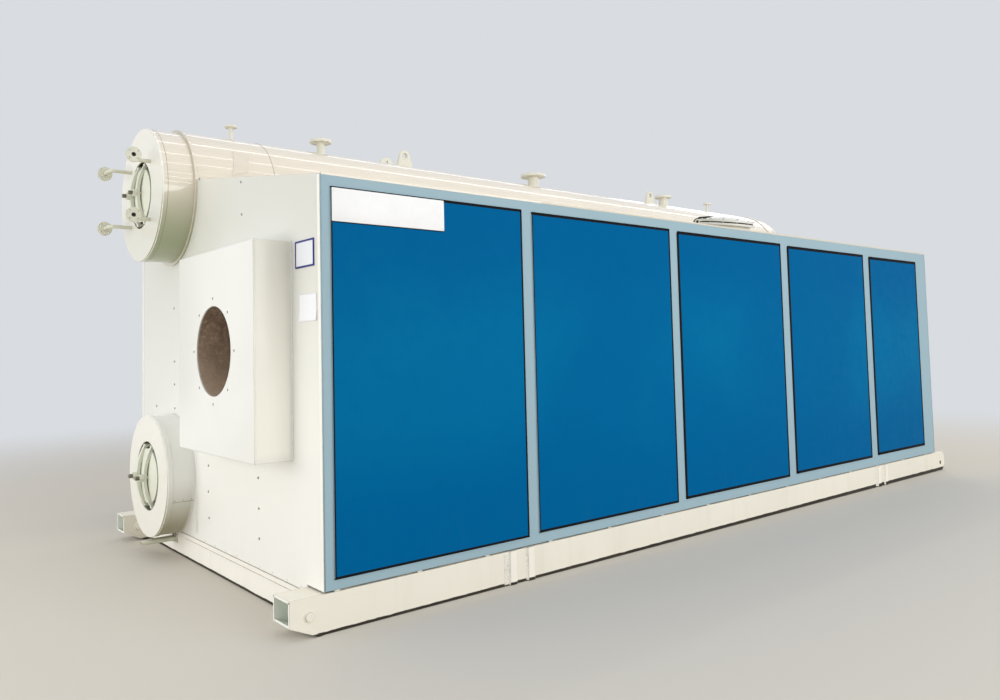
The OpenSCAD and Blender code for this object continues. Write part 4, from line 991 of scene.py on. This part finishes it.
def drum_trim():
    """Lap joints of the lagging sheets, and the patch on the upper drum's flank."""
    bm = bmesh.new()
    for y in UPPER_SEAMS:
        drum_plate(bm, ((y, ROOF_LEFT), (y, ROOF_RIGHT)),
                   ((y + LAP_W, ROOF_LEFT), (y + LAP_W, ROOF_RIGHT)), 0.0014, 72)
    finish_piece("upper_lap_joints", bm, "lagging_paint")
    bm = bmesh.new()
    drum_plate(bm, PATCH_LEFT, PATCH_RIGHT, 0.003)
    matt = painted("patch_paint", PATCH, 0.7, waves=0.3, dirt=0.5, grime_and_shade=0.5, wear=0.4, shift=10.0,
                   edge=0.003, level=0.2)
    finish_piece("drum_patch", bm, "lagging_paint", matt)


def ring_lines():
    """Painted shadow lines at the narrow ring seams: round each drum just behind its end plate, and round the
    laps' edges.
    """
    bm = bmesh.new()
    for centre, face, radius in ((UPPER, UPPER_FACE, END_R), (LOWER, LOWER_FACE, LOWER_R)):
        y = face + RING_BEHIND * MM
        for row in (y, FRONT + REAR - y):
            tube(bm, arc(centre, radius, row, 0, 360, 0.02)[:-1], 0.0013, closed=True)
    for y in UPPER_SEAMS:
        tube(bm, arc(UPPER, UPPER_R, FRONT + (y - 1) * MM, ROOF_RIGHT, ROOF_LEFT, 0.02), 0.0016)
    finish_piece("ring_seams", bm, "lagging_paint", weld_metal("seam_shadow", SEAM_SHADOW))


def rivet(bm, place, axis, r=0.0045):
    lathe(bm, [(r, -0.001), (r, 0.0006), (0.7 * r, 0.0018), (0.3 * r, 0.0022), (0, 0.0023)], place, axis, 10)


def drum_rivets():
    """Rivets along the laps, and a painted shadow line along the lengthwise seam low on each end of the lower
    drum.
    """
    bm = bmesh.new()
    for y in UPPER_SEAMS:
        turn = ROOF_RIGHT + 6
        while turn < ROOF_LEFT - 4:
            rivet(bm, on_drum(UPPER, UPPER_R + 0.0014, FRONT + y * MM + 0.02, turn), outward(turn))
            turn += 12
    finish_piece("upper_rivets", bm, "lagging_paint")
    bm, shadow = bmesh.new(), bmesh.new()
    for low, high in ((LOWER_FACE + RING_BEHIND * MM, FRONT - 0.002),
                      (REAR + 0.002, FRONT + REAR - LOWER_FACE - RING_BEHIND * MM)):
        a, b = (on_drum(LOWER, LOWER_R, y, LOWER_SEAM_TURN) for y in (low, high))
        tube(shadow, line(a, b, 0.03), 0.0016)
        turn = LOWER_SEAM_TURN + 1.7
        for share in (0, 0.5, 1):
            y = low + 0.02 + (high - low - 0.04) * share
            rivet(bm, on_drum(LOWER, LOWER_R, y, turn), outward(turn))
    finish_piece("lower_rivets", bm, "casing_paint", steel)
    finish_piece("lower_lap_lines", shadow, "casing_paint", weld_metal("lap_shadow", SEAM_SHADOW))


def end_welds():
    """The weld between each cover plate and its drum."""
    bm = bmesh.new()
    for centre, face, radius in ((UPPER, UPPER_FACE, END_R), (LOWER, LOWER_FACE, LOWER_BAND_R)):
        for y in (face + 0.0125, FRONT + REAR - face - 0.0125):
            tube(bm, arc(centre, radius - 0.001, y, 0, 360, 0.01)[:-1], bead(0.0035, 0.012, 7), closed=True)
    finish_piece("end_welds", bm, "end_paint", weld_metal("end_weld", END_CREAM))


def saddle(y, radius):
    """Points where an upright pipe meets the upper drum's crown."""
    points = ring(Vector((UPPER.x, y, 0)), X, Y, radius, max(24, int(2 * pi * radius / 0.008)))
    for p in points:
        p.z = UPPER.z + sqrt(UPPER_R ** 2 - (p.x - UPPER.x) ** 2)
    return points


# millimetres: the nozzles' distance from the front plate, pipe radius and flange's thickness
NOZZLES = [(500, 17, 18), (1374, 36, 26), (4110, 62, 26), (6494, 56, 26), (7485, 17, 18)]
# the lugs' distance from the front plate, length and thickness
LIFTING = [(2322, 190, 30), (6208, 190, 30), (2107, 156, 20)]


def fitting_welds():
    """Welds at the feet of the nozzles and lugs, and under the nozzles' flanges."""
    bm = bmesh.new()
    flange_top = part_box("main_steam_nozzle")[1].z
    for n, (y, r, under) in enumerate(NOZZLES):
        row, radius = FRONT + y * MM, r * MM + 0.002
        tube(bm, saddle(row, radius), bead(0.006, 0.012, n), closed=True)
        count = max(24, int(2 * pi * r * MM / 0.008))
        neck = Vector((UPPER.x, row, flange_top - under * MM - 0.001))
        tube(bm, ring(neck, X, Y, radius, count), bead(0.005, 0.012, n + 9), closed=True)
    for n, (y, length, thick) in enumerate(LIFTING):
        half_l, half_t = length * MM / 2, thick * MM / 2
        z = UPPER.z + sqrt(UPPER_R ** 2 - half_t ** 2) + 0.001
        for side in (-1, 1):
            middle = Vector((UPPER.x + side * (half_t + 0.001), FRONT + y * MM, z))
            tube(bm, line(middle - Y * half_l, middle + Y * half_l), bead(0.0065, 0.012, n + 20))
    finish_piece("fitting_welds", bm, "fitting_paint", weld_metal("fitting_weld", FITTING))


# pieces: skid, relief door, drain

RIB_W = 56
RIB_Y = (1500 - 82.5, 1500 + 82.5)
RIB_Y_REAR = (6836 - 82.5, 6836 + 82.5)
# side view of the beam's nose, millimetres ahead of the front plate and above the ground
NOSE_TIP = (-214, 77)
NOSE_KNEE = (-42, 0)
NOSE_LIP_OUT = 7
NOSE_LIP_H = 14
PIN_AHEAD, PIN_Z = 96, 120
PIN_WELD_R = 29
FOOT_WELDS = [66, 640, 1180, 1760, 2380, 3010, 3620, 4250, 4880, 5490, 6110, 6720, 7340, 7960]


def skid_welds():
    """Welds down both edges of the beams' ribs, round the hauling pins and along the casing's foot."""
    bm = bmesh.new()
    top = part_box("base_beam_right")[1].z
    for side in (-1, 1):
        face = side * SIDE
        for n, y in enumerate(RIB_Y + RIB_Y_REAR):
            for k in (-1, 1):
                row = FRONT + (y + k * RIB_W / 2) * MM
                a, b = (Vector((face + side * 0.001, row, z)) for z in (0.006, top - 0.006))
                tube(bm, line(a, b), bead(0.009, 0.018, n + 3 * k))
        for x in (face, face - side * BEAM_W * MM):
            spot = Vector((x, FRONT - PIN_AHEAD * MM, PIN_Z * MM))
            tube(bm, ring(spot, Y, Z, PIN_WELD_R * MM, 32), bead(0.0055, 0.012, 11), closed=True, sides=8)
    finish_piece("skid_welds", bm, "skid_paint", weld_metal("skid_weld", SKID))
    bm = bmesh.new()
    for side in (-1, 1):
        for n, y in enumerate(FOOT_WELDS):
            a = Vector((side * (SIDE - 0.004), FRONT + y * MM, FOOT - 0.005))
            tube(bm, line(a, a + Y * 0.034, 0.006), bead(0.0052, 0.01, n))
    finish_piece("foot_welds", bm, "skid_paint", weld_metal("foot_weld", FITTING))


PAD_FIRST, PAD_LATER = 46, 14
PAD_STEP = 4
PAD_FOOT = 8


def rib_weld_pads():
    """Rough, built-up weld metal on the beams' faces just ahead of each rib."""
    rnd = random.Random(21)
    bm = bmesh.new()
    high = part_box("base_beam_right")[1].z / MM - 6 - PAD_FOOT
    for side in (-1, 1):
        for n, y in enumerate(RIB_Y + RIB_Y_REAR):
            width = PAD_LATER if n % 2 else PAD_FIRST
            start = y - RIB_W / 2 - 4 - width
            across = max(3, int(width / PAD_STEP))
            up = int(high / PAD_STEP)
            rows = [[] for _ in range(up + 1)]
            for j, row in enumerate(rows):
                for i in range(across + 1):
                    rim = i in (0, across) or j in (0, up)
                    out = -1.0 if rim else rnd.uniform(1.0, 6.5)
                    spot = at(out, start + width * i / across + rnd.uniform(-1.2, 1.2),
                              PAD_FOOT + high * j / up)
                    row.append(bm.verts.new(mirrored(side, spot)))
            bridge(bm, rows)
    finish_piece("rib_weld_pads", bm, "skid_paint", weld_metal("pad_weld", RIB_CREAM, 0.45), sharp=180)


def nose_lips():
    """The edge of the plate under each beam's nose, and the rims of the nose's cut edges."""
    bm = bmesh.new()
    (y0, z0), (y1, z1) = NOSE_TIP, NOSE_KNEE
    outline = [(y0, z0), (y1, z1), (y1 + 26, z1), (y1 + 26, z1 + 4), (y1 + 3, z1 + NOSE_LIP_H),
               (y0, z0 + NOSE_LIP_H + 1)]
    for side in (-1, 1):
        for face, out in ((0, 1), (-BEAM_W, -1)):
            rows = [[bm.verts.new(mirrored(side, at(x, y, z))) for y, z in outline]
                    for x in (face - 0.5 * out, face + NOSE_LIP_OUT * out)]
            bridge(bm, rows, True)
            bm.faces.new(rows[0])
            bm.faces.new(list(reversed(rows[1])))
    bmesh.ops.bevel(bm, geom=list(bm.edges), offset=0.0015, segments=2, profile=0.7, affect="EDGES")
    finish_piece("nose_plate_edges", bm, "skid_paint")
    low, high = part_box("base_beam_right")
    bm = bmesh.new()
    rim, out = 0.012, 0.003
    inner = SIDE - BEAM_W * MM
    for side in (-1, 1):
        for x in (SIDE - rim, inner):
            box(bm, (side * x, low.y - out, z0 * MM + 0.002),
                (side * (x + rim), low.y + 0.002, high.z - 0.001), 0.0012)
        box(bm, (side * inner, low.y - out, high.z - rim), (side * SIDE, low.y + 0.002, high.z), 0.0012)
    # the cut edges' lighter paint is a painted highlight, over chips of bare steel
    edge = painted("cut_edge_paint", EDGE_HIGHLIGHT, 0.45, waves=0.1, dirt=0.6, grime_and_shade=0.3, wear=0.7, shift=11.0,
                   chip=BARE_STEEL)
    finish_piece("nose_rims", bm, "skid_paint", edge)


# millimetres: the cheek plates at the beams' rear ends, their corners' radii and their pin holes
CHEEK_BACK = 1
CHEEK_T = 22
CHEEK_OUT = 223
CHEEK_LOW, CHEEK_HIGH = 2, 221
CHEEK_ROUND_LOW, CHEEK_ROUND_HIGH = 92, 70
CHEEK_HOLE = (106, 94, 24)
CHEEK_BOSS = (35, 70)


def towing_cheeks():
    """An outer plate with round corners and a pin hole beside each towing lug."""
    bm, bores = bmesh.new(), bmesh.new()
    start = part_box("base_beam_right")[1].y
    y0, y1 = start - 0.002, start + CHEEK_OUT * MM
    z0, z1 = CHEEK_LOW * MM, CHEEK_HIGH * MM
    r0, r1 = CHEEK_ROUND_LOW * MM, CHEEK_ROUND_HIGH * MM
    hole_y, hole_z, hole_r = start + CHEEK_HOLE[0] * MM, CHEEK_HOLE[1] * MM, CHEEK_HOLE[2] * MM
    boss_r, boss_long = CHEEK_BOSS[0] * MM, CHEEK_BOSS[1] * MM
    outline = [(y0, z0)]
    for r, cy, cz, turn in ((r0, y1 - r0, z0 + r0, -90), (r1, y1 - r1, z1 - r1, 0)):
        turns = [radians(turn + 9 * i) for i in range(11)]
        outline += [(cy + r * cos(a), cz + r * sin(a)) for a in turns]
    outline.append((y0, z1))
    turns = [atan2(z - hole_z, y - hole_y) for y, z in outline]
    hole = [(hole_y + hole_r * cos(a), hole_z + hole_r * sin(a)) for a in turns]
    for side in (-1, 1):
        back, face = (side * (SIDE - deep * MM) for deep in (CHEEK_BACK + CHEEK_T, CHEEK_BACK))
        rows = [[bm.verts.new((x, y, z)) for y, z in loop]
                for x, loop in ((back, outline), (face, outline), (face, hole), (back, hole))]
        bridge(bm, rows + rows[:1], True)
        spot = Vector((face, hole_y, hole_z))
        # painted shade: dark bores inside the pin holes
        for profile in ([(hole_r - 0.004, -0.004), (hole_r + 0.001, -0.004), (boss_r, -0.005),
                         (boss_r, -boss_long), (0, -boss_long)],
                        [(hole_r - 0.004, -0.004), (hole_r - 0.006, -0.02), (0, -0.02)]):
            lathe(bores, profile, spot, X * side, 28)
    bmesh.ops.remove_doubles(bm, verts=bm.verts, dist=1e-6)
    finish_piece("towing_cheeks", bm, "skid_paint")
    finish_piece("towing_bores", bores, material=looks["bore_shade"])


# millimetres: the relief door's middle on the roof, from the right wall's face and the front plate
DOOR_X, DOOR_Y = -420, 4690


def roof_normal(side=1):
    return Vector((side * sin(SLOPE), 0, cos(SLOPE)))


def on_roof(x, y, z):
    """A place on the sloping roof round the relief door, x downhill, z off the roof, metres."""
    foot = at(DOOR_X, DOOR_Y, 0)
    foot.z = WALL_TOP + tan(SLOPE) * (-DOOR_X * MM)
    return foot + Vector((cos(SLOPE), 0, -sin(SLOPE))) * x + Y * y + roof_normal() * z


DOOR_SEAT = 0.070
DOOR_SEAL = 0.012
DOOR_LID = 0.022
DOOR_BOLT_RING = 0.249
DOOR_BOLTS = 12
DOOR_FIRST_TURN = 297


def relief_bolts():
    """The bolts that hold the relief lid on its flange, with none under the hinge strap."""
    bm = bmesh.new()
    for i in range(DOOR_BOLTS):
        turn = DOOR_FIRST_TURN + 360 * i / DOOR_BOLTS
        if abs(turn % 360 - 180) < 20:
            continue
        x, y = DOOR_BOLT_RING * cos(radians(turn)), DOOR_BOLT_RING * sin(radians(turn))
        lathe(bm, [(0.005, 0), (0.005, DOOR_SEAL + 0.003)], on_roof(x, y, DOOR_SEAT - 0.002),
              roof_normal(), 12)
        head = on_roof(x, y, DOOR_SEAT + DOOR_SEAL + DOOR_LID - 0.001)
        lathe(bm, [(0.009, 0), (0.009, 0.007), (0.0075, 0.0085), (0, 0.0085)], head, roof_normal(), 6)
    finish_piece("relief_bolts", bm, "fitting_paint", steel)


DRAIN_BOLT_Z = 142


def drain_bolts():
    """Two bolts on the plate that holds the drain pipes."""
    bm = bmesh.new()
    low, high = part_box("drain_pipes")
    for side in (-1, 1):
        p = Vector(((low.x + high.x) / 2 + side * 0.030, high.y - 0.010, DRAIN_BOLT_Z * MM))
        lathe(bm, [(0.0062, -0.001), (0.0062, 0.005), (0.0052, 0.006), (0, 0.006)], p, -Y, 6)
    finish_piece("drain_bolts", bm, "pipe_paint", steel)


# millimetres: the gauge pipes' flanges from the drum's axis and its cover plate
GAUGE_FACE_X = 410
GAUGE_Z = 230
GAUGE_OUT = 171
GAUGE_BORE_R = 10


def gauge_bores():
    """Painted shade: a dark plug inside each gauge pipe, a little way in from its flange, and a dark ring
    round it.
    """
    bm = bmesh.new()
    r = (GAUGE_BORE_R + 0.3) * MM
    for side in (-1, 1):
        for k in (-1, 1):
            mouth = UPPER + Vector((side * GAUGE_FACE_X, 0, k * GAUGE_Z)) * MM
            mouth.y = UPPER_FACE - GAUGE_OUT * MM
            for profile in ([(r, -0.012), (r, -0.0012), (r * 0.96, -0.0012), (r * 0.8, -0.006), (0, -0.008)],
                            [(r, -0.001), (r, 0.0004), (r * 1.6, 0.0004), (r * 1.6, -0.001)]):
                lathe(bm, profile, mouth, X * side, 24)
    finish_piece("gauge_bores", bm, material=looks["bore_shade"])


# millimetres: the manhole studs' radius and ends from the cover plate, their nuts' ends and offset
STUD_R = 15
STUD_OUT = 118
NUT_TOP = 88
YOKE_OFF = 85
# metres: the thread's pitch and depth
THREAD = 0.0035
THREAD_DEEP = 0.0013


def stud_threads():
    """The bare threads of the manhole studs outside their nuts."""
    bm = bmesh.new()
    for centre, face in ((UPPER, UPPER_FACE), (LOWER, LOWER_FACE)):
        for end in (-1, 1):
            plate = face if end < 0 else FRONT + REAR - face
            for side in (-1, 1):
                foot = Vector((centre.x + side * YOKE_OFF * MM, plate + end * (NUT_TOP + 1) * MM, centre.z))
                profile = []
                h = 0.0
                while h < (STUD_OUT - NUT_TOP - 5) * MM:
                    profile += [(STUD_R * MM + 0.0002, h), (STUD_R * MM + THREAD_DEEP, h + THREAD / 2)]
                    h += THREAD
                profile.append((STUD_R * MM + 0.0002, h))
                if end < 0:
                    tip = (STUD_OUT - NUT_TOP) * MM
                    profile += [(STUD_R * MM - 0.001, tip), (0, tip)]
                lathe(bm, profile, foot, Y * end, 24)
    finish_piece("stud_threads", bm, "head_paint", bare_steel(), sharp=20)


HEM_T = 8 * MM
ROOF_JOINTS = (1320, 2640, 3960, 5280, 6600)


def roof_joints():
    """Standing laps between the roof sheets, with a row of screws down each."""
    bm, screws = bmesh.new(), bmesh.new()
    width = Y * 0.045
    for side in (-1, 1):
        drum_x = UPPER.x + side * UPPER_R * cos(radians(roof_line(side)))
        off = roof_normal(side)
        lap = off * 0.002
        for y in ROOF_JOINTS:
            a, b = (Vector((x, FRONT + y * MM, WALL_TOP + tan(SLOPE) * (SIDE - side * x)))
                    for x in (side * (SIDE - HEM_T), drum_x + side * 0.006))
            low = [a, b, b + width, a + width]
            rows = [[bm.verts.new(p + lift) for p in low] for lift in (Vector(), lap)]
            bridge(bm, rows, True)
            for row in rows:
                bm.faces.new(row)
            count = max(2, int((b - a).length / 0.3) + 1)
            for i in range(count):
                screw(screws, a.lerp(b, (i + 0.5) / count) + width / 2 + lap, off)
    finish_piece("roof_laps", bm, "lagging_paint")
    finish_piece("roof_screws", screws, "lagging_paint", steel)


# every piece, with the materials that most of them share

make_camera()
make_world()
make_lamps()
make_floor()
looks = paint_nodes()
steel = screw_steel()
front_screws()
rear_screws()
notices()
sign_plate()
windbox_beads()
casing_edges()
front_joints()
panel_edges()
drum_trim()
ring_lines()
drum_rivets()
end_welds()
fitting_welds()
skid_welds()
rib_weld_pads()
nose_lips()
towing_cheeks()
relief_bolts()
drain_bolts()
stud_threads()
gauge_bores()
roof_joints()

bpy.context.scene.view_settings.view_transform = "Standard"
